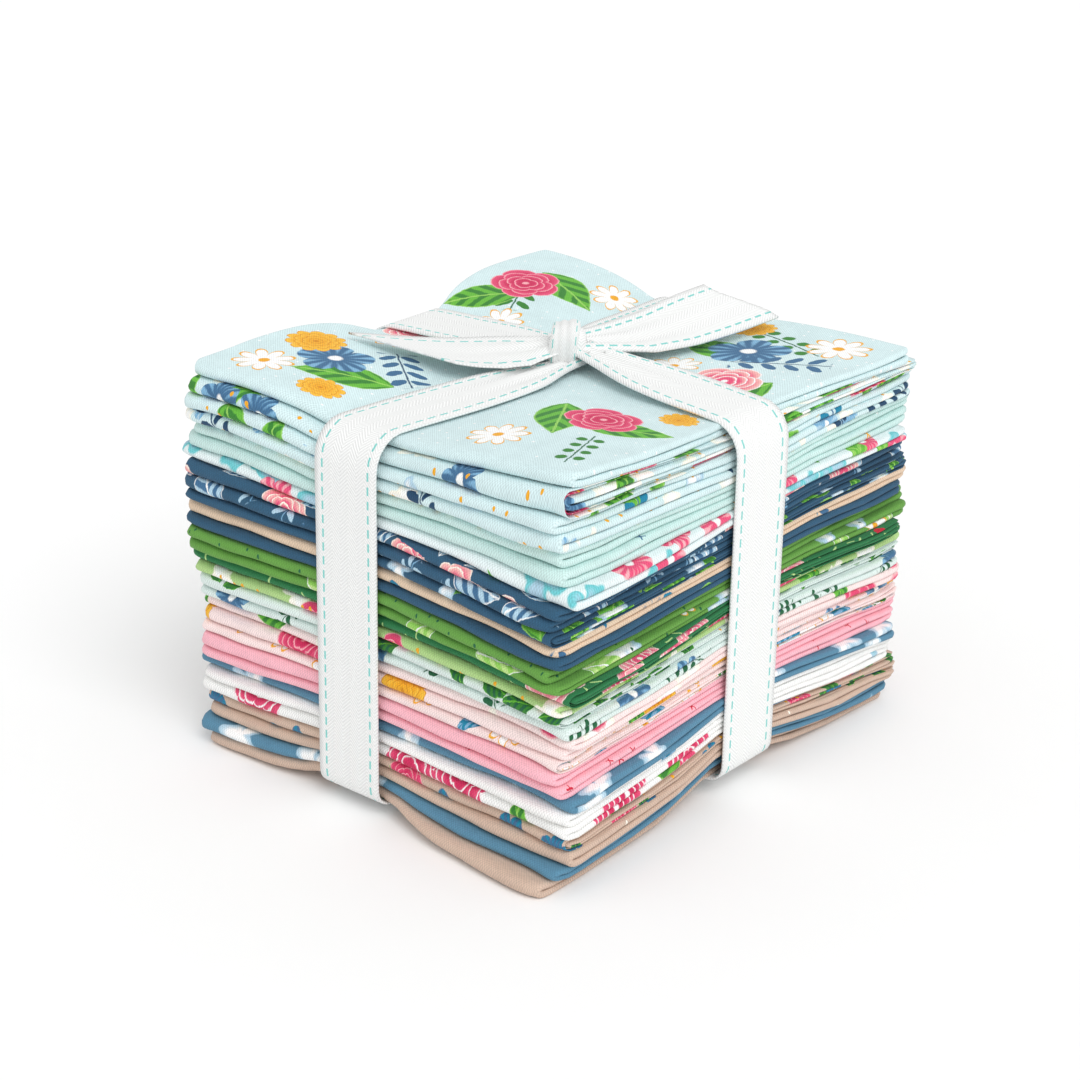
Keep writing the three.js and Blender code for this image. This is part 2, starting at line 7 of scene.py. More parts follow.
import math

import bpy
import numpy as np
from bpy.props import FloatProperty, FloatVectorProperty, PointerProperty
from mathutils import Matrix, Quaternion, Vector


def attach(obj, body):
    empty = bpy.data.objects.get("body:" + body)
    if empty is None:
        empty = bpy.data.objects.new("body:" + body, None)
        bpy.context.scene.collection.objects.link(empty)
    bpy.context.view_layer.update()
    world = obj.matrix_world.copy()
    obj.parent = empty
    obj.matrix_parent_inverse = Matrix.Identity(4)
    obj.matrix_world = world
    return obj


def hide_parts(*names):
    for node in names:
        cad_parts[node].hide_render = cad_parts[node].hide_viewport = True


bl_info = {
    "name": "Fat quarter bundle",
    "version": (1, 0, 0),
    "blender": (4, 5, 0),
    "location": "View3D > Sidebar > Bundle",
    "description": "Folded fat quarters, the tape that ties them, and a pale stage",
    "category": "Object",
}

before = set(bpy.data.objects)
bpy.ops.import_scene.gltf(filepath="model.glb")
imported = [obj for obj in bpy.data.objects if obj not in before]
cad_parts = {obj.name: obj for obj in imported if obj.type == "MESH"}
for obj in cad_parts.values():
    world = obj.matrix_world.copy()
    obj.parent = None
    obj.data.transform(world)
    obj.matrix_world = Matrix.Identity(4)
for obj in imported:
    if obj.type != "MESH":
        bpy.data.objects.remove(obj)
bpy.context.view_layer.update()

MM = 0.001

# The cut of one fat quarter, and its size when folded in quarters along X and thirds along Y, in mm
CUT_WIDTH = 457.0
CUT_LENGTH = 533.0
HALF_WIDTH = 67.5
HALF_DEPTH = 75.0
LAYER = 1.0
CLOTH_HEIGHT = 3.4
MIDDLE = CLOTH_HEIGHT / 2
LIP = 2.6
BACK_TURN = 1.6
TOP_EDGE_INSET = 1.5
TUCK_INSET = 4.5
TUCK_END = 3.2
PLY_OFFSETS = (0.375, -0.375, -0.125, 0.125)
OUTER_TURN = 0.9
INNER_TURN = 0.35
PLY_STEP = 0.4
INNER_GAP = 0.2
RAGGED_STEPS = 2.5

# How the CAD bundle leans, in mm over its height, and where its middle went to the origin
CLOTHS = 30
STACK_HEIGHT = 112.8
LEAN = (1.0, 3.2)
MIDDLE_AT = (-0.983, 1.631)

# How the tape pulls the CAD bundle in, in mm: in the middle of the edges along X, of those along Y, and
# in the middle of the face
TIE_X = -6.7
TIE_Y = 4.8
STRIP_HALF = 13.5
STRIP_ROUNDING = 0.04
DIAGONAL_ROUNDING = 0.1
TOP_PULL = (5.7, 5.7, 5.0)
FOOT_PULL = (4.6, 7.0, 3.9)
FOOT_SAG = 0.4

# Between the tapes and the corners the outer cloths swell: the fall of the swell towards the tape, the factor
# that makes its peak 1, and how many cloths share it
SWELL_FALL = 4
SWELL_PEAK = 1.87
SWELL_CLOTHS = 6

# Each level slopes a little its own way, and wanders towards the corners
SLOPE = 0.35
SLOPE_STEP = (2.1, 3.4)
LEVEL_WANDER = 0.4
LEVEL_WAVE = 85.0
LEVEL_WAVE_SLANT = 0.8

# The front right corner, where the upper cloths are fuller: levels, how far each has sunk there, the place
# along Y where that ends, and how it grows along X
SUNK_LEVELS = (8, 23, 28, 29, 30)
SUNK_DROPS = (0, 8.5, 4.0, 0.6, 0)
SUNK_END = 34.0
SUNK_CURVE = 1.25

# How far the tape presses the edges in, in mm, over how many cloths more at the top and the foot, how soon
# that fades beside it, and the share of a cloth's own shift that is left under it
SIDE_PRESS = 1.0
EDGE_PRESS_TOP = 5.0
EDGE_PRESS_FOOT = 2.6
EDGE_PRESS_CLOTHS = 3
PRESS_FADE = 3
SHIFT_UNDER_TAPE = 0.25

# How near to its corners a CAD node is measured, and the gap between one cloth and the next, in mm
CORNER_REACH = 8.0
TOUCHING = 0.1

# The stack's corners by their sides in X and Y: how far each drops, and how far its edges along X and along Y
# swell, in mm
CORNERS = {
    (-1, -1): (0, 3.0, 5.2),
    (1, -1): (-1.6, 0.6, 0.6),
    (1, 1): (4.2, 1.2, 1.2),
    (-1, 1): (0, 0.6, 4.4),
}

# How the layers of one cloth swell and wander at the sides
SIDE_SWELL = 1.05
SIDE_SWELL_RUN = 5.0
LAYER_DRAW = 0.25
RIPPLE_RUN = 14.0
LIP_WAVE = 46.0
SIDE_WAVE = 52.0
CORNER_ROUNDING = 4.0
CORNER_DRAW = (0.08, 0.06)

# The rise and fall that all the cloths share: how far in from the sides it reaches, over what height it fades
# out below and above, and each side's wavelength and slant with height
SHARED_REACH = 24.0
SHARED_FADE = (12.0, 16.0)
SHARED_WAVES = {"front": (62, 0.35), "back": (58, 0.3), "right": (55, 0.4), "left": (60, 0.35)}

# The tape's route in the bundle's own mm, before the lean
SKEW = 1.7
FACES = {"front": 75.65, "back": 76.28, "left": 68.9, "right": 68.03}
TOP_LEVEL = 108.0
SIDE_LEVELS = (80, 60, 40, 20)
LOW_LEVEL = {"front": 3.7, "back": 3.7, "left": 5.6, "right": 5.6}
UNDER_LEVEL = {"front": 3.0, "back": 3.0, "left": 2.5, "right": 2.5}
TOP_BEND = 9.0
BOTTOM_BEND = 5.0
BEND_POINTS = 6
KNOT_MIDDLE = (3.0, 1.0, 114.6)
KNOT_TURN = math.radians(41)
BAND_SAG = 0.8

# Where each half of a round leaves the knot, and rows of part of its way to the top edge,
# share of its full width and how much it is gathered
BAND_ROOTS = {
    "front": ((7.5, 4.5, 111.0), [(0, 0.14, 1), (0.15, 0.34, 0.8), (0.34, 0.8, 0.35), (0.6, 1, 0.05)]),
    "back": ((3.0, 2.0, 113.2), [(0, 0.4, 1), (0.15, 0.6, 0.8), (0.34, 0.95, 0.3), (0.6, 1, 0.05)]),
    "left": ((2.0, 1.0, 113.6), [(0, 0.4, 1), (0.15, 0.62, 0.8), (0.4, 0.95, 0.3), (0.65, 1, 0.05)]),
    "right": ((5.5, 3.0, 113.6), [(0, 0.4, 1), (0.2, 0.6, 0.8), (0.42, 0.88, 0.4), (0.66, 1, 0.1)]),
}


def tint(red, green, blue):
    """A colour given as 0 to 255 on screen, as the shader's numbers."""
    shares = [part / 255 for part in (red, green, blue)]
    return tuple(s / 12.92 if s <= 0.04045 else ((s + 0.055) / 1.055) ** 2.4 for s in shares)


def colour(name, description, *parts):
    return FloatVectorProperty(
        name=name, description=description, default=tint(*parts), subtype="COLOR", min=0, max=1
    )


def length(name, description, default):
    return FloatProperty(name=name, description=description, default=default * MM, unit="LENGTH", precision=5)


class BundleSizes(bpy.types.PropertyGroup):
    """Sizes that a maker may change."""

    ply: length("Ply", "Thickness of one ply of the cotton", 0.19)
    lip_ripple: length("Lip ripple", "How far the rounded lips wander in and out", 0.55)
    side_ripple: length("Side ripple", "How far the folds at the sides wander in and out", 0.5)
    level_ripple: length("Level ripple", "How far the layers rise and fall along the sides", 0.4)
    tape_width: length("Tape width", "Width of the twill tape", 22)
    tape_ply: length("Tape ply", "Thickness of the twill tape", 0.6)
    stitch_inset: length("Stitch inset", "From the tape's edge to its running stitch", 2.7)
    stitch_pitch: length("Stitch pitch", "From one stitch to the next", 3.9)


class BundleColours(bpy.types.PropertyGroup):
    """Ground colours of the cottons, the tape and the floor."""

    aqua: colour("Aqua", "Ground of the aqua cottons", 214, 236, 238)
    mint: colour("Mint", "Ground of the mint cottons", 204, 232, 228)
    mist: colour("Mist", "Ground of the misty white cotton", 232, 243, 244)
    navy: colour("Navy", "Ground of the navy cottons", 50, 90, 118)
    sand: colour("Sand", "Ground of the sand cotton", 226, 201, 175)
    green: colour("Leaf green", "Ground of the leaf green cottons", 104, 160, 72)
    forest: colour("Forest", "Ground of the forest green cotton", 46, 124, 76)
    pear: colour("Pear", "Ground of the pear green cotton", 178, 213, 140)
    frost: colour("Frost", "Ground of the frosty cottons", 222, 236, 232)
    blush: colour("Blush", "Ground of the blush cottons", 250, 228, 226)
    coral: colour("Coral", "Ground of the coral cottons", 249, 186, 198)
    dusk: colour("Dusk", "Ground of the dusty blue cottons", 90, 138, 165)
    white: colour("White", "Ground of the white cottons", 246, 246, 244)
    tan: colour("Tan", "Ground of the tan cottons", 208, 182, 164)
    tape: colour("Tape", "The white of the twill tape", 250, 251, 250)
    stitch: colour("Stitch", "Running stitch along both edges of the tape", 138, 214, 208)
    floor: colour("Floor", "The pale floor", 253, 253, 253)


def sizes_in_mm():
    """The sizes group as plain numbers in mm."""
    group = bpy.context.scene.bundle_sizes
    return {name: getattr(group, name) / MM for name in BundleSizes.__annotations__}


def ground(name):
    return tuple(getattr(bpy.context.scene.bundle_colours, name))


# Colours of the printed motifs
CREAM = tint(250, 246, 232)
CHALK = tint(250, 251, 250)
GOLD = tint(240, 172, 40)
SUN = tint(250, 198, 70)
AMBER = tint(214, 138, 24)
LEAF = tint(104, 184, 62)
BRIGHT_LEAF = tint(150, 208, 96)
DEEP_LEAF = tint(58, 132, 52)
PINE = tint(38, 100, 66)
ROSE = tint(232, 84, 124)
DEEP_ROSE = tint(206, 44, 92)
PALE_ROSE = tint(248, 176, 184)
PEACH = tint(248, 196, 188)
RED = tint(206, 36, 62)
SKY = tint(128, 178, 212)
PALE_SKY = tint(176, 208, 226)
SLATE = tint(66, 110, 148)
INK = tint(36, 72, 104)
TEAL = tint(28, 132, 166)
POOL = tint(112, 202, 208)


# Node trees


class Reckon:
    """A number in a node tree that is reckoned with like a plain one."""

    def __init__(self, tree, socket):
        self.tree = tree
        self.socket = socket

    def math(self, operation, *others):
        node = self.tree.nodes.new("ShaderNodeMath")
        node.operation = operation
        for slot, value in zip(node.inputs, (self, *others)):
            feed(self.tree, slot, value)
        return Reckon(self.tree, node.outputs[0])

    def __add__(self, other):
        return self.math("ADD", other)

    def __radd__(self, other):
        return self.math("ADD", other)

    def __sub__(self, other):
        return self.math("SUBTRACT", other)

    def __rsub__(self, other):
        return (self * -1) + other

    def __mul__(self, other):
        return self.math("MULTIPLY", other)

    def __rmul__(self, other):
        return self.math("MULTIPLY", other)

    def __truediv__(self, other):
        return self.math("DIVIDE", other)

    def __pow__(self, other):
        return self.math("POWER", other)

    def __abs__(self):
        return self.math("ABSOLUTE")

    def sine(self):
        return self.math("SINE")

    def cosine(self):
        return self.math("COSINE")

    def fraction(self):
        return self.math("FRACT")

    def least(self, other):
        return self.math("MINIMUM", other)

    def most(self, other):
        return self.math("MAXIMUM", other)

    def step(self, low, high):
        """0 below low, 1 above high, eased between."""
        node = self.tree.nodes.new("ShaderNodeMapRange")
        node.interpolation_type = "SMOOTHSTEP"
        for slot, value in zip(node.inputs, (self, low, high)):
            feed(self.tree, slot, value)
        return Reckon(self.tree, node.outputs[0])


def feed(tree, slot, value):
    """Puts a number, a colour or another node's output into a socket."""
    if isinstance(value, Reckon):
        tree.links.new(value.socket, slot)
    elif isinstance(value, bpy.types.NodeSocket):
        tree.links.new(value, slot)
    elif slot.type == "RGBA" and len(value) == 3:
        slot.default_value = (*value, 1)
    else:
        slot.default_value = value


def node_of(tree, kind, values=(), **settings):
    """A node with its settings and the values of its named sockets."""
    node = tree.nodes.new(kind)
    for name, setting in settings.items():
        setattr(node, name, setting)
    for name, value in dict(values).items():
        feed(tree, node.inputs[name], value)
    return node


def vector_math(tree, operation, first, second):
    node = tree.nodes.new("ShaderNodeVectorMath")
    node.operation = operation
    feed(tree, node.inputs[0], first)
    slot = node.inputs["Scale"] if operation == "SCALE" else node.inputs[1]
    feed(tree, slot, second)
    return node.outputs[0]


def parts_of(tree, vector):
    node = node_of(tree, "ShaderNodeSeparateXYZ", {"Vector": vector})
    return Reckon(tree, node.outputs[0]), Reckon(tree, node.outputs[1])


def blended(tree, share, first, second):
    """Two colours mixed by a share."""
    node = tree.nodes.new("ShaderNodeMix")
    node.data_type = "RGBA"
    feed(tree, node.inputs[0], share)
    feed(tree, node.inputs[6], first)
    feed(tree, node.inputs[7], second)
    return node.outputs[2]


# Motifs. Each is drawn about its own middle at unit size and gives its mask, the share of its fill
# colour and the share of its mark colour.


def from_middle(x, y):
    reach = (x * x + y * y) ** 0.5
    return reach, y.math("ARCTAN2", x)


def daisy(x, y):
    reach, angle = from_middle(x, y)
    edge = 0.4 + 0.6 * abs((angle * 4.5).cosine()) ** 0.55
    return (edge - reach).step(0, 0.05), (edge - reach).step(0.08, 0.14), (0.2 - reach).step(0, 0.06)


def blossom(x, y):
    reach, angle = from_middle(x, y)
    edge = 0.62 + 0.38 * abs((angle * 2.5).cosine()) ** 0.5
    streak = ((angle * 15).cosine() * 0.5 + 0.5) * reach
    return (edge - reach).step(0, 0.05), streak.step(0.2, 0.7), (0.22 - reach).step(0, 0.08)


# Rings of petals from the outside in: size, lobes in a half turn, and turn
ROSE_RINGS = ((1.0, 2.5, 0.0), (0.78, 2.5, 0.7), (0.57, 2.0, 0.2), (0.36, 1.5, 1.0))
MARIGOLD_RINGS = ((1.0, 5.5, 0.0), (0.74, 5.5, 0.8), (0.48, 4.5, 0.0), (0.26, 3.5, 0.6))


def petal_rings(x, y, rings):
    """A full flower: each ring of petals grows lighter to its rim, and a line parts it from the next."""
    reach, angle = from_middle(x, y)
    masks, fill, lines = [], 0.0, 0.0
    for size, lobes, turn in rings:
        edge = size * (0.78 + 0.22 * abs((angle * lobes + turn).cosine()) ** 0.5)
        inside = (edge - reach).step(0, 0.03)
        toward_rim = (reach - edge * 0.62) / (edge * 0.38)
        rim = (0.07 - (edge - reach)).step(0, 0.04)
        fill = toward_rim.step(0, 1) * inside + (1 - inside) * fill
        lines = rim * inside + (1 - inside) * lines
        masks.append(inside)
    return masks[0], fill, lines.most((0.12 - reach).step(0, 0.06))


def rose(x, y):
    return petal_rings(x, y, ROSE_RINGS)


def marigold(x, y):
    return petal_rings(x, y, MARIGOLD_RINGS)


def leaf(x, y):
    side = abs(y)
    half = (1 - x * x).most(0) * (0.5 - 0.18 * x)
    stripes = ((x * 13 - side * 17).sine() + 1) * 0.5
    lines = (0.035 - side).step(0, 0.02).most((0.07 - abs(half - side)).step(0, 0.05))
    return (half - side).step(0, 0.03), stripes.step(0.3, 0.7), lines * (1 - abs(x)).step(0, 0.1)


def leaf_pairs(x, y, drawn):
    """A stem with pairs of leaves or berries along it."""
    along = (x / 0.44).fraction() * 0.44 - 0.22
    aside = abs(y)
    inside = (1 - abs(x)).step(0, 0.06)
    stem = (0.035 - aside).step(0, 0.03) * inside
    pair = drawn(along, aside) * inside
    return pair.most(stem), pair, stem


def sprig(x, y):
    def slanted(along, aside):
        across = (along - 0.02) * 0.78 - (aside - 0.24) * 0.62
        down = (along - 0.02) * 0.62 + (aside - 0.24) * 0.78
        return (1 - (across / 0.11) ** 2.0 - (down / 0.25) ** 2.0).step(0, 0.25)

    return leaf_pairs(x, y, slanted)


def berries(x, y):
    def round_berry(along, aside):
        return (0.14 - ((along * along) + (aside - 0.18) * (aside - 0.18)) ** 0.5).step(0, 0.04)

    return leaf_pairs(x, y, round_berry)


def dot(x, y):
    reach, _ = from_middle(x, y)
    inside = (1 - reach).step(0, 0.2)
    return inside, inside, (0.4 - reach).step(0, 0.2)


def cross(x, y):
    arms = abs(x + y).least(abs(x - y))
    reach, _ = from_middle(x, y)
    inside = (0.26 - arms).step(0, 0.12) * (1 - reach).step(0, 0.12)
    return inside, inside, inside * 0


def dash(x, y):
    inside = (0.2 - abs(y)).step(0, 0.1) * (1 - abs(x)).step(0, 0.15)
    return inside, inside, inside * 0


def patch(x, y):
    """A loose painted patch."""
    reach, angle = from_middle(x, y)
    edge = 0.7 + 0.18 * (angle * 3 + 1).cosine() + 0.1 * (angle * 7).sine()
    return (edge - reach).step(0, 0.1), (edge - reach).step(0.1, 0.5), (0.2 - reach).step(0, 0.3)


MOTIFS = {
    draw.__name__: draw
    for draw in (daisy, blossom, rose, marigold, leaf, sprig, berries, dot, cross, dash, patch)
}


def motif_group(name):
    """The node group of one motif, made once."""
    label = f"motif_{name}"
    if label in bpy.data.node_groups:
        return bpy.data.node_groups[label]
    group = bpy.data.node_groups.new(label, "ShaderNodeTree")
    group.interface.new_socket("Place", in_out="INPUT", socket_type="NodeSocketVector")
    for output in ("Mask", "Fill", "Mark"):
        group.interface.new_socket(output, in_out="OUTPUT", socket_type="NodeSocketFloat")
    start = group.nodes.new("NodeGroupInput")
    end = group.nodes.new("NodeGroupOutput")
    x, y = parts_of(group, start.outputs[0])
    for slot, value in zip(end.inputs, MOTIFS[name](x, y)):
        feed(group, slot, value)
    return group


def printed(tree, base, name, place, colours, present=None):
    """The base colour with one motif printed over it: edge, fill and mark colours."""
    drawn = node_of(tree, "ShaderNodeGroup", node_tree=motif_group(name))
    feed(tree, drawn.inputs[0], place)
    edge, fill, mark = colours
    body = blended(tree, drawn.outputs["Fill"], edge, fill)
    body = blended(tree, drawn.outputs["Mark"], body, mark)
    mask = Reckon(tree, drawn.outputs["Mask"])
    if present is not None:
        mask = mask * present
    return blended(tree, mask, base, body)


def placed(tree, flat, x, y, turn, size):
    """A place on the flat cloth as seen from one motif's middle."""
    node = node_of(tree, "ShaderNodeMapping", {"Vector": flat}, vector_type="TEXTURE")
    node.inputs["Location"].default_value = (x, y, 0)
    node.inputs["Rotation"].default_value = (0, 0, math.radians(turn))
    node.inputs["Scale"].default_value = (size, size, 1)
    return node.outputs[0]


def scattered(tree, flat, cell, size, share, seed):
    """Places seen from the middles of motifs that are strewn one to a cell, and which cells hold one."""
    shifted = vector_math(tree, "ADD", flat, (seed * 137.3, seed * 71.9, 0))
    cells = node_of(
        tree,
        "ShaderNodeTexVoronoi",
        {"Vector": shifted, "Scale": 1 / cell, "Randomness": 0.7},
        voronoi_dimensions="2D",
    )
    local = vector_math(tree, "SUBTRACT", shifted, cells.outputs["Position"])
    chance = node_of(tree, "ShaderNodeSeparateColor", {"Color": cells.outputs["Color"]})
    turned = node_of(tree, "ShaderNodeVectorRotate", {"Vector": local}, rotation_type="Z_AXIS")
    feed(tree, turned.inputs["Angle"], Reckon(tree, chance.outputs[0]) * (2 * math.pi))
    place = vector_math(tree, "SCALE", turned.outputs[0], 1 / size)
    present = (share - Reckon(tree, chance.outputs[1])).step(0, 0.01)
    return place, present


# Prints of the cloths from the top down: the ground, then the motifs strewn over it as
# motif, cell and size in mm, share of the cells that hold one, and edge, fill and mark colours.
FLORAL_WHITE = (GOLD, CHALK, GOLD)
FLORAL_PINK = (DEEP_ROSE, ROSE, PALE_ROSE)
FLORAL_PALE = (ROSE, PEACH, CHALK)
FLORAL_BLUE = (SLATE, SKY, CHALK)
GREEN_LEAF = (DEEP_LEAF, LEAF, BRIGHT_LEAF)
BLUE_LEAF = (SLATE, PALE_SKY, CHALK)

PRINTS = {
    "aqua_bouquet": ("aqua", []),
    "aqua_posy": (
        "aqua",
        [
            ("patch", 19, 9, 0.7, (CREAM, CHALK, CREAM)),
            ("leaf", 23, 10.5, 0.5, GREEN_LEAF),
            ("blossom", 21, 7, 0.35, FLORAL_BLUE),
            ("rose", 31, 10, 0.3, FLORAL_PINK),
            ("dot", 5.5, 0.6, 0.5, (AMBER, GOLD, GOLD)),
        ],
    ),
    "aqua_leaf": (
        "aqua",
        [
            ("leaf", 22, 10, 0.55, GREEN_LEAF),
            ("sprig", 27, 12, 0.4, (SLATE, TEAL, SLATE)),
            ("patch", 17, 7, 0.35, (PALE_SKY, CHALK, CHALK)),
            ("dot", 6, 0.5, 0.4, (AMBER, GOLD, GOLD)),
        ],
    ),
    "aqua_spray": (
        "aqua",
        [
            ("patch", 16, 7.5, 0.6, (CREAM, CHALK, CREAM)),
            ("blossom", 18, 5, 0.3, (SKY, PALE_SKY, CHALK)),
            ("sprig", 24, 11, 0.5, (INK, INK, INK)),
            ("dot", 5, 0.55, 0.5, (AMBER, GOLD, GOLD)),
        ],
    ),
    "mint_plain": ("mint", [("dot", 9, 0.45, 0.25, (CHALK, CHALK, CHALK))]),
    "mint_cross": (
        "mint",
        [("cross", 13, 1.7, 0.5, (TEAL, SLATE, TEAL)), ("cross", 15, 1.5, 0.35, (AMBER, GOLD, GOLD))],
    ),
    "mist_blossom": (
        "mist",
        [
            ("patch", 20, 9.5, 0.6, (POOL, PALE_SKY, POOL)),
            ("blossom", 17, 7, 0.5, (ROSE, PALE_ROSE, CHALK)),
            ("leaf", 19, 7, 0.35, (LEAF, BRIGHT_LEAF, LEAF)),
        ],
    ),
    "navy_rose": (
        "navy",
        [
            ("leaf", 17, 8, 0.6, BLUE_LEAF),
            ("rose", 20, 8, 0.45, (ROSE, PEACH, CREAM)),
            ("dash", 8, 2, 0.35, (SKY, SKY, SKY)),
        ],
    ),
    "navy_fern": (
        "navy",
        [("sprig", 17, 8, 0.75, (SKY, PALE_SKY, SKY)), ("leaf", 22, 9, 0.4, BLUE_LEAF)],
    ),
    "navy_garden": (
        "navy",
        [
            ("leaf", 17, 8, 0.5, GREEN_LEAF),
            ("patch", 18, 7, 0.4, (PALE_SKY, CHALK, CHALK)),
            ("sprig", 16, 7, 0.3, (LEAF, BRIGHT_LEAF, LEAF)),
        ],
    ),
    "sand_teal": (
        "sand",
        [("leaf", 13, 4, 0.55, (TEAL, TEAL, SLATE)), ("sprig", 22, 8, 0.2, (TEAL, SLATE, TEAL))],
    ),
    "navy_plain": ("navy", [("leaf", 40, 6, 0.25, GREEN_LEAF)]),
    "leaf_green": ("green", [("dot", 4.5, 0.4, 0.6, (PINE, PINE, PINE))]),
    "leaf_posy": (
        "green",
        [
            ("patch", 20, 9, 0.5, (PALE_SKY, CHALK, PALE_SKY)),
            ("leaf", 18, 8, 0.5, (BRIGHT_LEAF, tint(190, 224, 140), CHALK)),
            ("daisy", 19, 6, 0.35, FLORAL_WHITE),
            ("dot", 6, 0.5, 0.4, (PINE, PINE, PINE)),
        ],
    ),
    "forest_rose": (
        "forest",
        [
            ("dash", 6, 1.8, 0.6, (BRIGHT_LEAF, tint(190, 224, 150), BRIGHT_LEAF)),
            ("rose", 24, 8, 0.4, (ROSE, PALE_ROSE, CREAM)),
            ("blossom", 26, 6, 0.3, (RED, RED, PEACH)),
        ],
    ),
    "pear_posy": (
        "pear",
        [
            ("patch", 15, 7, 0.6, (CREAM, CHALK, CREAM)),
            ("leaf", 20, 8, 0.35, GREEN_LEAF),
            ("rose", 26, 8, 0.3, FLORAL_PINK),
            ("dot", 5, 0.6, 0.5, (AMBER, GOLD, GOLD)),
        ],
    ),
    "frost_leaf": (
        "frost",
        [("leaf", 12, 5.5, 0.7, (PINE, DEEP_LEAF, LEAF)), ("dot", 7, 0.5, 0.3, (GOLD, GOLD, GOLD))],
    ),
    "frost_fern": (
        "frost",
        [("sprig", 15, 7, 0.7, (PINE, PINE, PINE)), ("blossom", 24, 7, 0.35, FLORAL_BLUE)],
    ),
    "blush_peony": (
        "blush",
        [
            ("patch", 19, 8, 0.5, (CREAM, CHALK, CREAM)),
            ("rose", 28, 11, 0.5, FLORAL_PINK),
            ("leaf", 24, 8, 0.3, GREEN_LEAF),
        ],
    ),
    "blush_garden": (
        "blush",
        [
            ("marigold", 22, 8, 0.45, (GOLD, SUN, AMBER)),
            ("rose", 27, 9, 0.4, FLORAL_PINK),
            ("leaf", 20, 7, 0.35, GREEN_LEAF),
            ("blossom", 24, 6, 0.3, FLORAL_BLUE),
        ],
    ),
    "petal_outline": (
        "blush",
        [
            ("daisy", 16, 7, 0.7, (GOLD, CHALK, GOLD)),
            ("leaf", 17, 6, 0.35, (TEAL, SKY, TEAL)),
            ("sprig", 19, 7, 0.3, (PINE, DEEP_LEAF, PINE)),
        ],
    ),
    "coral_plain": ("coral", [("dot", 8, 0.5, 0.3, (ROSE, ROSE, ROSE))]),
    "coral_cross": ("coral", [("cross", 9, 1.3, 0.6, (RED, RED, RED))]),
    "dusk_patch": ("dusk", [("patch", 19, 8, 0.5, (PALE_SKY, CHALK, CHALK))]),
    "white_plain": ("white", [("leaf", 46, 7, 0.3, (TEAL, SKY, TEAL))]),
    "white_peony": (
        "white",
        [
            ("patch", 22, 9, 0.3, (PALE_SKY, POOL, PALE_SKY)),
            ("rose", 25, 10.5, 0.5, (DEEP_ROSE, ROSE, CHALK)),
            ("leaf", 21, 8.5, 0.4, GREEN_LEAF),
        ],
    ),
    "tan_garden": (
        "tan",
        [
            ("leaf", 14, 6, 0.5, (PINE, DEEP_LEAF, LEAF)),
            ("blossom", 17, 5.5, 0.4, (SLATE, TEAL, GOLD)),
            ("rose", 21, 6, 0.3, FLORAL_PINK),
            ("dot", 6, 0.6, 0.4, (AMBER, GOLD, GOLD)),
        ],
    ),
    "tan_plain": ("tan", [("dot", 7, 0.4, 0.25, (CREAM, CREAM, CREAM))]),
    "dusk_cloud": ("dusk", [("patch", 24, 9, 0.45, (PALE_SKY, CHALK, CHALK))]),
    "tan_base": ("tan", [("sprig", 34, 8, 0.25, (PINE, DEEP_LEAF, PINE))]),
}

# Motifs set one by one on the top cloth's upper face, in mm from its middle: motif, x, y, turn, size, colours
BOUQUET = [
    ("sprig", -47, -40, 70, 12, (PINE, DEEP_LEAF, PINE)),
    ("leaf", -38, -52, 20, 13, GREEN_LEAF),
    ("leaf", -56, -30, 140, 12, GREEN_LEAF),
    ("rose", -50, -46, 0, 10, FLORAL_PINK),
    ("daisy", -41, -20, 15, 7.5, FLORAL_WHITE),
    ("berries", 38, -57, 20, 13, (PINE, DEEP_LEAF, PINE)),
    ("leaf", 24, -42, 205, 12, GREEN_LEAF),
    ("blossom", 34, -44, 30, 10.5, FLORAL_BLUE),
    ("sprig", 48, -40, -30, 12, (INK, SLATE, INK)),
    ("daisy", 52, -61, 40, 8.5, FLORAL_WHITE),
    ("marigold", 22, -64, 0, 6, (GOLD, SUN, AMBER)),
    ("leaf", 55, -14, 100, 11, GREEN_LEAF),
    ("rose", 46, -20, 60, 9.5, FLORAL_PALE),
    ("daisy", 26, -22, 70, 7, FLORAL_WHITE),
    ("leaf", 33, 40, 60, 13, GREEN_LEAF),
    ("leaf", 52, 35, -20, 12, GREEN_LEAF),
    ("rose", 42, 32, 20, 10, FLORAL_PINK),
    ("daisy", 28, 60, 10, 8, FLORAL_WHITE),
    ("berries", 54, 58, 70, 11, (PINE, DEEP_LEAF, PINE)),
    ("marigold", 56, 14, 0, 5.5, (GOLD, SUN, AMBER)),
    ("leaf", -33, 54, 150, 12, GREEN_LEAF),
    ("blossom", -42, 46, 15, 9.5, FLORAL_BLUE),
    ("marigold", -55, 40, 30, 7.5, (GOLD, SUN, AMBER)),
    ("daisy", -53, 62, 20, 8, FLORAL_WHITE),
    ("sprig", -27, 36, 40, 11, (INK, SLATE, INK)),
    ("daisy", -48, 18, 0, 7, FLORAL_WHITE),
    ("leaf", -36, 14, -35, 10, GREEN_LEAF),
    ("rose", -58, 2, 0, 8, FLORAL_PALE),
    ("marigold", -30, 66, 0, 5.5, (GOLD, SUN, AMBER)),
    ("daisy", -26, -62, 25, 7.5, FLORAL_WHITE),
]
TOP_CLOTH = "aqua_bouquet"
BOUQUET_SCALE = 1.15

# Cell and size in mm, share of the cells and seed of the specks strewn over the top cloth
CHALK_SPECKS = (4.5, 0.4, 0.35, 5)

# Cloths that are laid with their doubled folds to the left
MIRRORED = {"aqua_posy", "navy_garden", "forest_rose", "frost_leaf", "petal_outline", "tan_garden"}
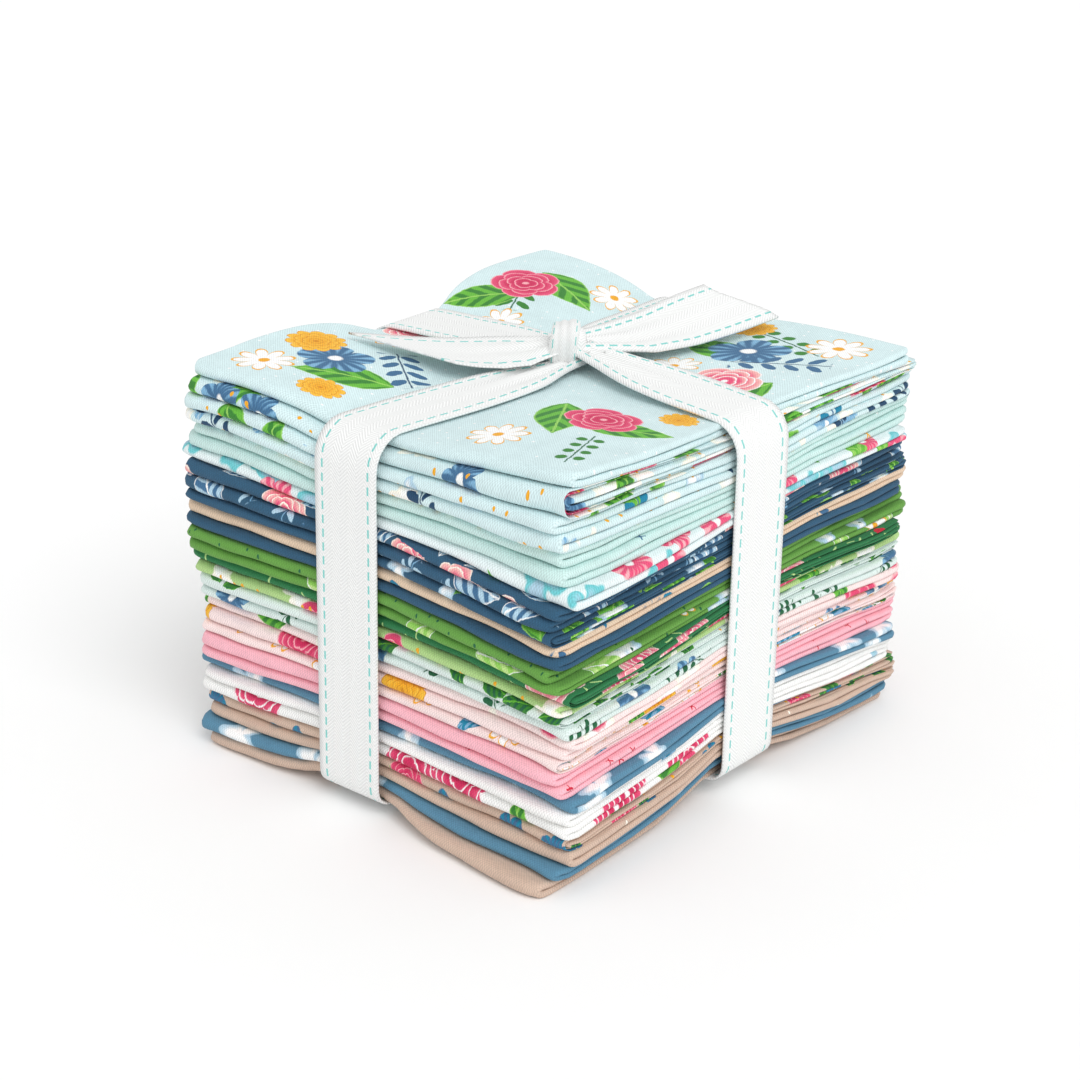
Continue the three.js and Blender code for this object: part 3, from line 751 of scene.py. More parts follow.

# Threads of the plain weave, unsteadiness of the printed lines and mottling of the ground, in mm, and how
# much darker the ground is where it is mottled, and the painted shade between the threads and painted light
# on them
THREAD_PITCH = 0.85
PRINT_SHAKE = 0.9
PRINT_SHAKE_SCALE = 0.55
SLUB_SCALE = 1.4
MOTTLE_SCALE = 0.12
MOTTLE_SHADE = 0.94
THREAD_LIGHT = (0.86, 1.14)
COTTON_BUMP = 0.14


def flat_place(tree):
    """The flat cloth's place in mm from its UV map: a little unsteady, as printed lines are, and steady."""
    uv = node_of(tree, "ShaderNodeUVMap", uv_map="flat").outputs[0]
    flat = vector_math(tree, "SCALE", uv, 1 / MM)
    shake = node_of(tree, "ShaderNodeTexNoise", {"Vector": flat, "Scale": PRINT_SHAKE_SCALE, "Detail": 2.0})
    centred = vector_math(tree, "SUBTRACT", shake.outputs["Color"], (0.5, 0.5, 0.5))
    return vector_math(tree, "ADD", flat, vector_math(tree, "SCALE", centred, PRINT_SHAKE)), flat


def plain_weave(tree, flat):
    """Height of the threads of a plain weave, with slubs."""
    x, y = parts_of(tree, flat)
    thread = 2 * math.pi / THREAD_PITCH
    over = (x * thread).sine() * (y * thread).sine()
    slub = node_of(tree, "ShaderNodeTexNoise", {"Vector": flat, "Scale": SLUB_SCALE, "Detail": 3.0})
    return over * 0.5 + Reckon(tree, slub.outputs[0])


def threaded(tree, cover, weave):
    """A colour with painted shade between the threads and painted light on them and on slubs."""
    node = tree.nodes.new("ShaderNodeMix")
    node.data_type = "RGBA"
    node.blend_type = "MULTIPLY"
    node.inputs[0].default_value = 1
    feed(tree, node.inputs[6], cover)
    low, high = THREAD_LIGHT
    feed(tree, node.inputs[7], weave.step(0, 1) * (high - low) + low)
    return node.outputs[2]


def cotton(cloth):
    """Printed quilting cotton: the ground, its motifs and a plain weave."""
    base_name, layers = PRINTS[cloth]
    material = bpy.data.materials.new(f"cotton_{cloth}")
    material.use_nodes = True
    tree = material.node_tree
    shader = tree.nodes["Principled BSDF"]
    flat, steady = flat_place(tree)
    mottle = node_of(tree, "ShaderNodeTexNoise", {"Vector": steady, "Scale": MOTTLE_SCALE, "Detail": 4.0})
    base = ground(base_name)
    faded = tuple(part * MOTTLE_SHADE for part in base)
    cover = blended(tree, Reckon(tree, mottle.outputs[0]).step(0.35, 0.7), base, faded)
    for number, (name, cell, size, share, colours) in enumerate(layers):
        seed = len(cloth) + 3 * number + list(PRINTS).index(cloth)
        place, present = scattered(tree, flat, cell, size, share, seed)
        cover = printed(tree, cover, name, place, colours, present)
    if cloth == TOP_CLOTH:
        cover = bouquet_cover(tree, flat, cover)
    weave = plain_weave(tree, steady)
    feed(tree, shader.inputs["Base Color"], threaded(tree, cover, weave))
    bump = node_of(tree, "ShaderNodeBump", {"Strength": 0.45, "Distance": COTTON_BUMP * MM, "Height": weave})
    feed(tree, shader.inputs["Normal"], bump.outputs[0])
    rough = weave.step(0, 1.4) * 0.15 + 0.8
    feed(tree, shader.inputs["Roughness"], rough)
    shader.inputs["Specular IOR Level"].default_value = 0.25
    shader.inputs["Sheen Weight"].default_value = 0.08
    shader.inputs["Sheen Roughness"].default_value = 0.5
    return material


def bouquet_cover(tree, flat, cover):
    """The top cloth's own print: chalk specks strewn over, and motifs set one by one."""
    place, present = scattered(tree, flat, *CHALK_SPECKS)
    cover = printed(tree, cover, "dot", place, (CHALK, CHALK, CHALK), present)
    middle_x, middle_y = top_face_middle()
    for name, x, y, turn, size, colours in BOUQUET:
        place = placed(tree, flat, middle_x + x, middle_y + y, turn, size * BOUQUET_SCALE)
        cover = printed(tree, cover, name, place, colours)
    return cover


# Folding


def eased(share):
    share = np.clip(share, 0, 1)
    return share * share * (3 - 2 * share)


def wander(along, wavelength, seed):
    """A smooth unsteady line between about -1 and 1."""
    parts = ((1.0, 0.0), (0.61, 1.7), (0.37, 4.1))
    total = 0
    for share, phase in parts:
        total = total + np.sin(2 * np.pi * along / (wavelength * share) + phase + 2.39 * seed) * share
    return total / 1.6


def half_turn(start, end, reach, count, sign):
    """Points of a rounded turn from one ply to another, without its two ends."""
    angles = np.linspace(0, np.pi, count + 2)[1:-1]
    middle = (start[1] + end[1]) / 2
    offset = start[1] - middle
    return [(start[0] + sign * reach * math.sin(a), middle + offset * math.cos(a)) for a in angles]


def quarter_fold(outer_places, inner_places):
    """The cloth across X, doubled twice: places in mm, offsets in shares of a layer, flat places in mm."""
    outer, lowest, low, high = PLY_OFFSETS
    right = HALF_WIDTH - OUTER_TURN
    left = -HALF_WIDTH + INNER_TURN
    inner_right = HALF_WIDTH - PLY_STEP - INNER_TURN - INNER_GAP
    path = [(x, outer) for x in outer_places * (right + HALF_WIDTH - PLY_STEP) - HALF_WIDTH + PLY_STEP]
    path += half_turn((right, outer), (right, lowest), OUTER_TURN, 7, 1)
    path += [(x, lowest) for x in right + inner_places * (left - right)]
    path += half_turn((left, lowest), (left, low), INNER_TURN, 3, -1)
    path += [(x, low) for x in left + inner_places * (inner_right - left)]
    path += half_turn((inner_right, low), (inner_right, high), INNER_TURN, 3, 1)
    ragged_end = -HALF_WIDTH + RAGGED_STEPS * PLY_STEP
    path += [(x, high) for x in inner_right + inner_places * (ragged_end - inner_right)]
    places = np.array(path)
    steps = np.hypot(np.diff(places[:, 0]), np.diff(places[:, 1]) * LAYER)
    flat = np.concatenate([[0], np.cumsum(steps)])
    return places[:, 0], places[:, 1], flat * CUT_LENGTH / flat[-1]


def third_fold(top_places, low_places, tuck_places):
    """The cloth along Y, folded in thirds with the last one tucked in.

    Each station has its place and height in mm, the outward normal of the layer there,
    how far it is tucked (0 to 1) and its flat place in mm."""
    top, low, tuck = CLOTH_HEIGHT - LAYER / 2, LAYER / 2, MIDDLE
    front = -HALF_DEPTH + LIP
    back = HALF_DEPTH - BACK_TURN
    rows = []
    free_edge = HALF_DEPTH - TOP_EDGE_INSET
    rows += [(y, top, 0, 1, 0) for y in free_edge + top_places * (front - free_edge)]
    reach, rise = LIP - LAYER / 2, top - MIDDLE
    for a in np.linspace(0, np.pi, 11)[1:-1]:
        normal = np.array([-math.sin(a) * rise, math.cos(a) * reach])
        normal /= np.linalg.norm(normal)
        rows.append((front - reach * math.sin(a), MIDDLE + rise * math.cos(a), *normal, 0))
    rows += [(y, low, 0, -1, 0) for y in front + low_places * (back - front)]
    reach, rise = BACK_TURN - LAYER / 2, (tuck - low) / 2
    for a in np.linspace(0, np.pi, 7)[1:-1]:
        normal = np.array([math.sin(a) * rise, -math.cos(a) * reach])
        normal /= np.linalg.norm(normal)
        rows.append((back + reach * math.sin(a), (tuck + low) / 2 - rise * math.cos(a), *normal, a / np.pi))
    tuck_end = -HALF_DEPTH + TUCK_END
    rows += [(y, tuck, 0, 1, 1) for y in back + tuck_places * (tuck_end - back)]
    table = np.array(rows)
    steps = np.hypot(np.diff(table[:, 0]), np.diff(table[:, 1]))
    flat = np.concatenate([[0], np.cumsum(steps)])
    return (*table.T, flat * CUT_WIDTH / flat[-1])


def edged(count):
    """Places from 0 to 1, closer together towards both ends."""
    share = np.linspace(0, 1, count)
    return share - 0.13 * np.sin(2 * np.pi * share)


def folds_of(cloth):
    """The two folds of a cloth; the top one has more points where it is seen."""
    if cloth == TOP_CLOTH:
        return quarter_fold(edged(84), edged(42)), third_fold(edged(70), edged(32), edged(24))
    return quarter_fold(edged(38), edged(22)), third_fold(edged(16), edged(14), edged(10))


def top_face_middle():
    """The flat place of the middle of the top cloth's upper face, in mm."""
    (x, offset, u), (y, height, _, _, _, v) = folds_of(TOP_CLOTH)
    outer = offset == PLY_OFFSETS[0]
    upper = height == CLOTH_HEIGHT - LAYER / 2
    along_u = np.interp(0, x[outer], u[outer])
    along_v = np.interp(0, -y[upper], v[upper])
    return along_u, along_v


def folded_sheet(cloth, number, sizes):
    """One folded cloth lying flat and straight: points in mm and flat places in mm."""
    (x, offset, u), (y, height, normal_y, normal_z, tuck, v) = folds_of(cloth)
    x = -x[None, :] if cloth in MIRRORED else x[None, :]
    offset = offset[None, :]
    y, height, normal_y, normal_z, tuck = (a[:, None] for a in (y, height, normal_y, normal_z, tuck))
    swell = eased(1 - (HALF_WIDTH - abs(x)) / SIDE_SWELL_RUN) * (1 - np.clip(tuck * 3, 0, 1))
    height = MIDDLE + (height - MIDDLE) * (1 - LAYER_DRAW * swell)
    through = offset * LAYER * (1 + SIDE_SWELL * swell)
    place_y = y + through * normal_y
    place_z = height + through * normal_z
    place_x = x * (1 - tuck * TUCK_INSET / HALF_WIDTH) + 0 * place_y
    lip = eased(1 - (place_y + HALF_DEPTH) / RIPPLE_RUN) * (1 - inward(place_x, TIE_X, HALF_WIDTH) ** 2)
    place_y = place_y - sizes["lip_ripple"] * lip * wander(place_x, LIP_WAVE, number)
    side = eased((abs(place_x) - HALF_WIDTH + RIPPLE_RUN) / RIPPLE_RUN)
    side = side * (1 - inward(place_y, TIE_Y, HALF_DEPTH) ** 2)
    upper = np.where(height > MIDDLE, 0.7, 0)
    way = np.sign(place_x) * sizes["side_ripple"]
    place_x = place_x + way * side * wander(place_y, SIDE_WAVE, number * 1.7 + upper)
    by_end = np.clip(abs(place_y) - HALF_DEPTH + CORNER_ROUNDING, 0, CORNER_ROUNDING)
    corner = by_end * np.clip(abs(place_x) - HALF_WIDTH + CORNER_ROUNDING, 0, CORNER_ROUNDING)
    place_x = place_x - np.sign(place_x) * corner * CORNER_DRAW[0]
    place_y = place_y - np.sign(place_y) * corner * CORNER_DRAW[1]
    points = np.stack([place_x, place_y, place_z], axis=-1)
    flat = np.stack(np.broadcast_arrays(u[None, :], v[:, None]), axis=-1)
    return points, flat


# The form of the tied stack


def inward(place, tie, half):
    """0 at the edges of the stack, rising to 1 at the strip that the tape presses, rounded there."""
    reach = np.where(place > tie, half - tie, half + tie) - STRIP_HALF
    outside = (abs(place - tie) - STRIP_HALF) / reach
    return np.clip(1 - (outside + np.hypot(outside, STRIP_ROUNDING)) / 2, 0, 1)


class StackPlan:
    """Places in the stack's plan, and the height of each level of the stack over them, in mm."""

    def __init__(self, x, y):
        self.x, self.y = x, y
        in_x = inward(x, TIE_X, HALF_WIDTH)
        in_y = inward(y, TIE_Y, HALF_DEPTH)
        most = (in_x + in_y + np.hypot(in_x - in_y, DIAGONAL_ROUNDING)) / 2
        self.most = np.clip(most, 0, 1)
        self.least = np.clip(in_x + in_y - most, 0, 1)
        self.toward_x = (1 + in_x - in_y) / 2
        self.swell = SWELL_PEAK * self.most * (1 - self.most**SWELL_FALL)

    def at_corners(self, item):
        """One number of the stack's corners, each in its own quarter of the plan."""
        right = self.x > TIE_X
        front = np.where(right, CORNERS[1, -1][item], CORNERS[-1, -1][item])
        back = np.where(right, CORNERS[1, 1][item], CORNERS[-1, 1][item])
        return np.where(self.y > TIE_Y, back, front)

    def by_edge(self, along_x, along_y):
        return along_y + (along_x - along_y) * self.toward_x

    def pulled(self, along_x, along_y, middle, drop):
        """How far the tape pulls the stack in."""
        side = self.by_edge(along_x, along_y)
        return drop * (1 - self.most) + side * self.most + (middle - side) * self.least

    def height(self, level):
        over = CLOTHS - level
        top = STACK_HEIGHT - self.pulled(*TOP_PULL, self.at_corners(0))
        sag = FOOT_SAG * self.by_edge(*FOOT_PULL[:2]) * self.swell * max(0, 1 - level / SWELL_CLOTHS)
        bottom = np.maximum(0, self.pulled(*FOOT_PULL, 0) - sag)
        dome = self.by_edge(self.at_corners(1), self.at_corners(2)) * self.swell * (1 - self.least)
        dome = dome * max(0, 1 - over / SWELL_CLOTHS)
        slope_x = math.sin(SLOPE_STEP[0] * level) * self.x / (2 * HALF_WIDTH)
        slope_y = math.sin(SLOPE_STEP[1] * level) * self.y / (2 * HALF_DEPTH)
        slope = SLOPE * (slope_x + slope_y) * min(1, level, over)
        loose = LEVEL_WANDER * wander(self.x + LEVEL_WAVE_SLANT * self.y, LEVEL_WAVE, level)
        loose = loose * (1 - self.most) * min(1, level, over)
        return bottom + level / CLOTHS * (top - bottom) + dome + slope + loose - self.sunk(level)

    def sunk(self, level):
        """How far a level has sunk towards the front right corner."""
        start = TIE_X + STRIP_HALF
        across = np.maximum(0, (self.x - start) / (HALF_WIDTH - start))
        along = np.maximum(0, (SUNK_END - self.y) / (SUNK_END + HALF_DEPTH))
        return np.interp(level, SUNK_LEVELS, SUNK_DROPS) * across**SUNK_CURVE * along


def corner_shifts(node):
    """How far each corner of a cloth lies outside the straight stack, measured on its CAD node in mm."""
    corners = np.array([vertex.co for vertex in node.data.vertices]) / MM
    straight = corners - leaning(corners)
    shifts = {}
    for side_x in (-1, 1):
        for side_y in (-1, 1):
            out_x = straight[:, 0] * side_x - HALF_WIDTH
            out_y = straight[:, 1] * side_y - HALF_DEPTH
            beside = (out_x > -CORNER_REACH) & (out_y > -CORNER_REACH)
            shifts[side_x, side_y] = (out_x[beside].max(), out_y[beside].max())
    return shifts


def stretched(places, others, axis, shifts, press):
    """Places along one axis moved out with their cloth's edges, which the tape holds in."""
    tie, half = ((TIE_X, HALF_WIDTH), (TIE_Y, HALF_DEPTH))[axis]
    other_tie, other_half = ((TIE_X, HALF_WIDTH), (TIE_Y, HALF_DEPTH))[1 - axis]
    far, other_far = places > tie, others > other_tie

    def shift(side, other_side):
        return shifts[(side, other_side) if axis == 0 else (other_side, side)][axis]

    out = np.where(
        far,
        np.where(other_far, shift(1, 1), shift(1, -1)),
        np.where(other_far, shift(-1, 1), shift(-1, -1)),
    )
    held = inward(others, other_tie, other_half) ** PRESS_FADE
    edge = half + out + (SHIFT_UNDER_TAPE * out - press - out) * held
    way = np.where(far, 1, -1)
    return tie + (places - tie) * (way * edge - tie) / (way * half - tie)


def laid(points, level, shifts):
    """A flat folded cloth laid in the tied stack, between one level and the next."""
    press = SIDE_PRESS
    press += EDGE_PRESS_TOP * max(0, 1 - (CLOTHS - 1 - level) / EDGE_PRESS_CLOTHS) ** 2
    press += EDGE_PRESS_FOOT * max(0, 1 - level / EDGE_PRESS_CLOTHS) ** 2
    x = stretched(points[..., 0], points[..., 1], 0, shifts, press)
    y = stretched(points[..., 1], points[..., 0], 1, shifts, press)
    plan = StackPlan(x, y)
    lower = plan.height(level)
    upper = plan.height(level + 1) - TOUCHING
    return np.stack([x, y, lower + points[..., 2] / CLOTH_HEIGHT * (upper - lower)], axis=-1), plan.most


def leaning(points):
    """How far the CAD bundle's lean and its centring carry points sideways."""
    share = points[..., 2] / STACK_HEIGHT
    return np.stack([share * LEAN[0] - MIDDLE_AT[0], share * LEAN[1] - MIDDLE_AT[1], 0 * share], axis=-1)


# Soft troughs (under 0) and ridges on the top cloth: from, to, height and half width, in mm, and the shares
# of their length over which they fade in and out
CREASES = [
    ((-12, -22), (-20, -70), 0.5, 4.0),
    ((10, -16), (44, -60), 0.35, 9.0),
    ((22, -10), (60, -18), -0.4, 6.0),
    ((-22, 12), (-60, 40), 0.4, 9.0),
    ((8, 22), (30, 66), -0.35, 6.0),
    ((-24, -8), (-62, -16), -0.45, 6.0),
    ((24, 20), (62, 34), 0.4, 7.0),
    ((-16, 24), (-22, 68), -0.35, 5.0),
]
CREASE_START = 0.2
CREASE_END = 0.35


def creased(points):
    """The top cloth with its creases, fading out at their ends."""
    rise = 0
    for start, end, height, half in CREASES:
        start, end = np.array(start, float), np.array(end, float)
        way = end - start
        run = np.linalg.norm(way)
        way /= run
        along = ((points[..., :2] - start) @ way) / run
        aside = (points[..., :2] - start) @ np.array([-way[1], way[0]])
        fade = eased(along / CREASE_START) * eased((1 - along) / CREASE_END)
        rise = rise + height * fade * np.exp(-((aside / half) ** 2))
    return rise


def uneven(points, sizes):
    """The rise and fall that all the cloths share along the four sides."""
    x, y, z = points[..., 0], points[..., 1], points[..., 2]
    sides = {
        "front": (y + HALF_DEPTH, x),
        "back": (HALF_DEPTH - y, x),
        "right": (HALF_WIDTH - x, y),
        "left": (HALF_WIDTH + x, y),
    }
    rise = 0
    for seed, (side, (inside, along)) in enumerate(sides.items(), start=1):
        wave, slant = SHARED_WAVES[side]
        rise = rise + eased(1 - inside / SHARED_REACH) * wander(along + slant * z, wave, seed)
    fade = eased(z / SHARED_FADE[0]) * eased((STACK_HEIGHT - z) / SHARED_FADE[1])
    return sizes["level_ripple"] * rise * fade


def joined(grids):
    """The points, quads and flat places of several grids, one after another."""
    points, quads, flats, count = [], [], [], 0
    for grid, flat in grids:
        rows, columns = grid.shape[:2]
        index = np.arange(rows * columns).reshape(rows, columns) + count
        cells = [index[:-1, :-1], index[:-1, 1:], index[1:, 1:], index[1:, :-1]]
        quads.append(np.stack(cells, axis=-1).reshape(-1, 4))
        points.append(grid.reshape(-1, 3))
        flats.append(flat.reshape(-1, 2))
        count += rows * columns
    return np.concatenate(points), np.concatenate(quads), np.concatenate(flats)


def sheet_object(name, grids, thickness, material):
    """A sheet from grids of points and their flat places in mm, given its thickness."""
    points, quads, flat = joined(grids)
    mesh = bpy.data.meshes.new(name)
    mesh.from_pydata((points * MM).tolist(), [], quads.tolist())
    layer = mesh.uv_layers.new(name="flat")
    loops = np.empty(len(mesh.loops), dtype=np.int32)
    mesh.loops.foreach_get("vertex_index", loops)
    layer.data.foreach_set("uv", (flat[loops] * MM).astype(np.float32).ravel())
    mesh.polygons.foreach_set("use_smooth", np.ones(len(mesh.polygons), dtype=bool))
    mesh.materials.append(material)
    sheet = bpy.data.objects.new(name, mesh)
    bpy.context.collection.objects.link(sheet)
    solid = sheet.modifiers.new("thickness", "SOLIDIFY")
    solid.thickness = thickness * MM
    solid.offset = 0
    bpy.ops.object.select_all(action="DESELECT")
    sheet.select_set(True)
    bpy.context.view_layer.objects.active = sheet
    bpy.ops.object.modifier_apply(modifier=solid.name)
    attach(sheet, "root")
    return sheet


class BUNDLE_OT_cloths(bpy.types.Operator):
    """Makes the thirty folded fat quarters on their CAD nodes"""

    bl_idname = "bundle.cloths"
    bl_label = "Folded fat quarters"

    def execute(self, context):
        sizes = sizes_in_mm()
        nodes = sorted(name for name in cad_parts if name.startswith("quarter_"))
        if len(nodes) != len(PRINTS):
            raise RuntimeError("the frame and the prints have different numbers of fat quarters")
        for number, (node, cloth) in enumerate(zip(nodes, PRINTS)):
            self.fold(number, node, cloth, sizes)
        return {"FINISHED"}

    def fold(self, number, node, cloth, sizes):
        folded, flat = folded_sheet(cloth, number, sizes)
        points, pressed = laid(folded, CLOTHS - 1 - number, corner_shifts(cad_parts[node]))
        rise = uneven(points, sizes) * (1 - pressed)
        if cloth == TOP_CLOTH:
            rise = rise + creased(points) * folded[..., 2] / CLOTH_HEIGHT
        points[..., 2] += rise
        points = points + leaning(points)
        sheet = sheet_object(f"folded_{cloth}", [(points, flat)], sizes["ply"], cotton(cloth))
        below = f"folded_{list(PRINTS)[number + 1]}" if number + 1 < len(PRINTS) else "the floor"
        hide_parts(node)


# The tape


def smooth_line(stations, step):
    """A table of stations, x, y and z first, made into a smooth line with points about a step apart."""
    table = np.array(stations, float)
    padded = np.concatenate([2 * table[:1] - table[1:2], table, 2 * table[-1:] - table[-2:-1]])
    lines = []
    for k in range(1, len(padded) - 2):
        a, b, c, d = padded[k - 1 : k + 3]
        count = max(1, int(np.linalg.norm((c - b)[:3]) / step))
        t = np.linspace(0, 1, count, endpoint=False)[:, None]
        first, last = (c - a) / 2, (d - b) / 2
        pairs = ((a, b), (b, c), (c, d))
        gap_before, gap, gap_after = (np.linalg.norm((q - p)[:3]) + 1e-6 for p, q in pairs)
        first = first * 2 * gap / (gap_before + gap)
        last = last * 2 * gap / (gap + gap_after)
        line = (2 * t**3 - 3 * t**2 + 1) * b + (t**3 - 2 * t**2 + t) * first
        lines.append(line + (3 * t**2 - 2 * t**3) * c + (t**3 - t**2) * last)
    lines.append(table[-1:])
    return np.concatenate(lines)


def half_round(along_y, sign):
    """Stations of one half of a round, from the knot to under the stack."""
    full = sizes_in_mm()["tape_width"] / 2
    name = ("front" if sign < 0 else "back") if along_y else ("left" if sign < 0 else "right")
    face, low = FACES[name], LOW_LEVEL[name]
    tie = TIE_X if along_y else TIE_Y - sign * SKEW

    def station(place, height, half=full, gather=0, side=tie):
        where = (side, place) if along_y else (place, side)
        return (*where, height, half, gather)

    root, opening = BAND_ROOTS[name]
    start, aside = (root[1], root[0]) if along_y else (root[0], root[1])
    bend_start = sign * (face - TOP_BEND)
    rows = []
    for part, width, gather in opening:
        height = root[2] + (TOP_LEVEL - root[2]) * part**BAND_SAG
        place = start + (bend_start - start) * part
        rows.append(station(place, height, full * width, gather, aside + (tie - aside) * part))
    for turn in np.linspace(0, np.pi / 2, BEND_POINTS):
        out = bend_start + sign * TOP_BEND * math.sin(turn)
        rows.append(station(out, TOP_LEVEL - TOP_BEND * (1 - math.cos(turn))))
    for level in SIDE_LEVELS:
        rows.append(station(sign * face, level))
    for turn in np.linspace(np.pi / 2, 0, BEND_POINTS):
        out = sign * (face - BOTTOM_BEND * (1 - math.sin(turn)))
        rows.append(station(out, low + BOTTOM_BEND * (1 - math.cos(turn))))
    middle = TIE_Y if along_y else TIE_X
    rows.append(station(middle + sign * STRIP_HALF, UNDER_LEVEL[name]))
    return rows


def round_stations(along_y):
    """Stations of one tape round the stack: x, y, z, half width and how much it is gathered."""
    return half_round(along_y, -1) + half_round(along_y, 1)[::-1]


TAPE_COLUMNS = 13
TAPE_STEP = 1.6
PLEAT_DEPTH = 1.3


def pleats(across, gather, seed):
    """Height of the lengthwise pleats where the tape is gathered."""
    return gather * PLEAT_DEPTH * np.sin(2 * np.pi * (across * 1.3 + 0.21 * seed)) * (1 - 0.3 * across**2)


def band_grid(along_y):
    """One tape round the stack as a grid of points and flat places, in mm."""
    line = smooth_line(round_stations(along_y), TAPE_STEP)
    middle, half, gather = line[:, :3], line[:, 3], line[:, 4]
    forward = np.gradient(middle, axis=0)
    forward /= np.linalg.norm(forward, axis=1, keepdims=True)
    side = np.array([1.0, 0, 0] if along_y else [0, 1.0, 0])
    normal = np.cross(side, forward) * (-1 if along_y else 1)
    across = np.linspace(-1, 1, TAPE_COLUMNS)
    run = np.concatenate([[0], np.cumsum(np.linalg.norm(np.diff(middle, axis=0), axis=1))])
    lift = pleats(across[None, :], gather[:, None], 1 + along_y)
    points = middle[:, None, :] + across[None, :, None] * half[:, None, None] * side
    points = points + lift[..., None] * normal[:, None, :]
    width = sizes_in_mm()["tape_width"]
    flat = np.stack(np.broadcast_arrays((across[None, :] + 1) / 2 * width, run[:, None]), axis=-1)
    return points, flat


# Each free end: heading in degrees from +X, lengths of its back and front edge, the side its back edge is on,
# and rows of part of its length, rise over the knot's middle, tip of the back edge in degrees, half width,
# shift of its middle to the front, and gather
TAILS = {
    "left": (
        (218, 62, 30, -1),
        [
            (0.0, 0.0, 0, 5.0, 0.0, 1),
            (0.15, -0.8, 2, 6.7, 0.6, 0.8),
            (0.32, -1.6, 3, 10.2, 1.8, 0.4),
            (0.55, -2.0, 3, 11.0, 2.2, 0.15),
            (0.78, -1.8, 2, 11.0, 1.6, 0.05),
            (1.0, -1.4, 1, 11.0, 1.0, 0),
        ],
    ),
    "right": (
        (79, 57, 65, 1),
        [
            (0.0, 0.0, 2, 5.4, 0.4, 1),
            (0.15, -0.6, 6, 7.4, 1.6, 0.7),
            (0.32, -1.4, 9, 10.0, 2.8, 0.4),
            (0.55, -1.4, 11, 11.0, 3.0, 0.2),
            (0.78, -0.4, 16, 11.0, 2.8, 0.1),
            (1.0, 0.6, 19, 11.0, 2.5, 0.05),
        ],
    ),
}
TAIL_ROWS = 44
TAIL_WAVE = 0.54
TAIL_CUT_WAVE = 1.6


def tail_grid(tail, seed):
    """One free end of the tape as a grid of points and flat places, in mm."""
    (heading, back_edge, front_edge, back_side), rows = TAILS[tail]
    turn = math.radians(heading)
    forward = np.array([math.cos(turn), math.sin(turn), 0])
    to_back = np.array([-forward[1], forward[0], 0]) * back_side
    table = np.array(rows, float)
    part = np.linspace(0, 1, TAIL_ROWS)
    rise, tip, half, shift, gather = (np.interp(part, table[:, 0], table[:, k]) for k in range(1, 6))
    across = np.linspace(-1, 1, TAPE_COLUMNS)
    tip = np.radians(tip)
    width_way = np.cos(tip)[:, None] * to_back + np.sin(tip)[:, None] * np.array([0, 0, 1.0])
    share = (across[None, :] + 1) / 2
    run = part[:, None] * (front_edge + (back_edge - front_edge) * share)
    run = run + part[:, None] ** 3 * TAIL_CUT_WAVE * np.sin(np.pi * share * 1.4 + seed) * (seed > 0)
    middle = np.array(KNOT_MIDDLE) - shift[:, None] * to_back + rise[:, None] * np.array([0, 0, 1.0])
    points = middle[:, None, :] + run[..., None] * forward
    points = points + (across[None, :] * half[:, None])[..., None] * width_way[:, None, :]
    wave = TAIL_WAVE * np.sin(2 * np.pi * (part[:, None] * 0.9 + 0.3 * share + 0.3 * seed)) * part[:, None]
    points[..., 2] += wave + pleats(across[None, :], gather[:, None], 4 + seed)
    width = sizes_in_mm()["tape_width"]
    flat = np.stack(np.broadcast_arrays(share * width, run), axis=-1)
    return points, flat


# Rings of gathered tape about the knot's axis. The ends and the rounds leave from the core, and the wrap goes
# round it. Each ring has its ends along the axis and its half sizes in mm, how square its section along the
# axis is, how far its ends close, its folds, its skew and climb, and the share of the tape's width it shows
KNOT_RINGS = {
    "core": {
        "start": -4.4,
        "end": 4.8,
        "half_across": 5.0,
        "half_tall": 4.4,
        "squared": 4,
        "closing": 0.997,
        "ribs": 1.5,
        "rib_depth": 0.06,
        "skew": 0.0,
        "climb": 0.0,
        "tape_share": 0.5,
        "rows": 17,
    },
    "wrap": {
        "start": -5.2,
        "end": 2.6,
        "half_across": 6.3,
        "half_tall": 6.2,
        "squared": 10,
        "closing": 0.985,
        "ribs": 3.2,
        "rib_depth": 0.035,
        "skew": 0.5,
        "climb": 0.12,
        "tape_share": 1.0,
        "rows": 25,
    },
}
KNOT_POINTS = 57
KNOT_SOFTNESS = 0.8


def knot_grid(name):
    """A ring of gathered tape round the knot's axis, in mm."""
    ring = KNOT_RINGS[name]
    axis = np.array([math.cos(KNOT_TURN), math.sin(KNOT_TURN), ring["climb"]])
    level = np.array([-axis[1], axis[0], 0])
    up = np.array([0, 0, 1.0])
    around = np.linspace(0, 2 * np.pi, KNOT_POINTS)[:, None]
    across = np.linspace(-1, 1, ring["rows"])[None, :]
    closing = np.sqrt(1 - (across * ring["closing"]) ** ring["squared"])
    folds = np.cos(np.pi * ring["ribs"] * across + 0.9 * np.sin(around) + 0.7) * (1 - across**2)
    reach = closing * (1 + ring["rib_depth"] * folds) * (1 + 0.04 * np.sin(3 * around + 1))

    def soft(value):
        return np.sign(value) * np.abs(value) ** KNOT_SOFTNESS

    half_along = (ring["end"] - ring["start"]) / 2
    middle = (ring["end"] + ring["start"]) / 2
    along = middle + across * half_along + ring["skew"] * np.sin(around + 0.6)
    points = np.array(KNOT_MIDDLE) + along[..., None] * axis
    points = points + (reach * ring["half_across"] * soft(np.cos(around)))[..., None] * level
    points = points + (reach * ring["half_tall"] * soft(np.sin(around)))[..., None] * up
    width = sizes_in_mm()["tape_width"] * ring["tape_share"]
    run = around * (ring["half_across"] + ring["half_tall"]) / 2
    flat = np.stack(np.broadcast_arrays((across + 1) / 2 * width, run), axis=-1)
    return points, flat


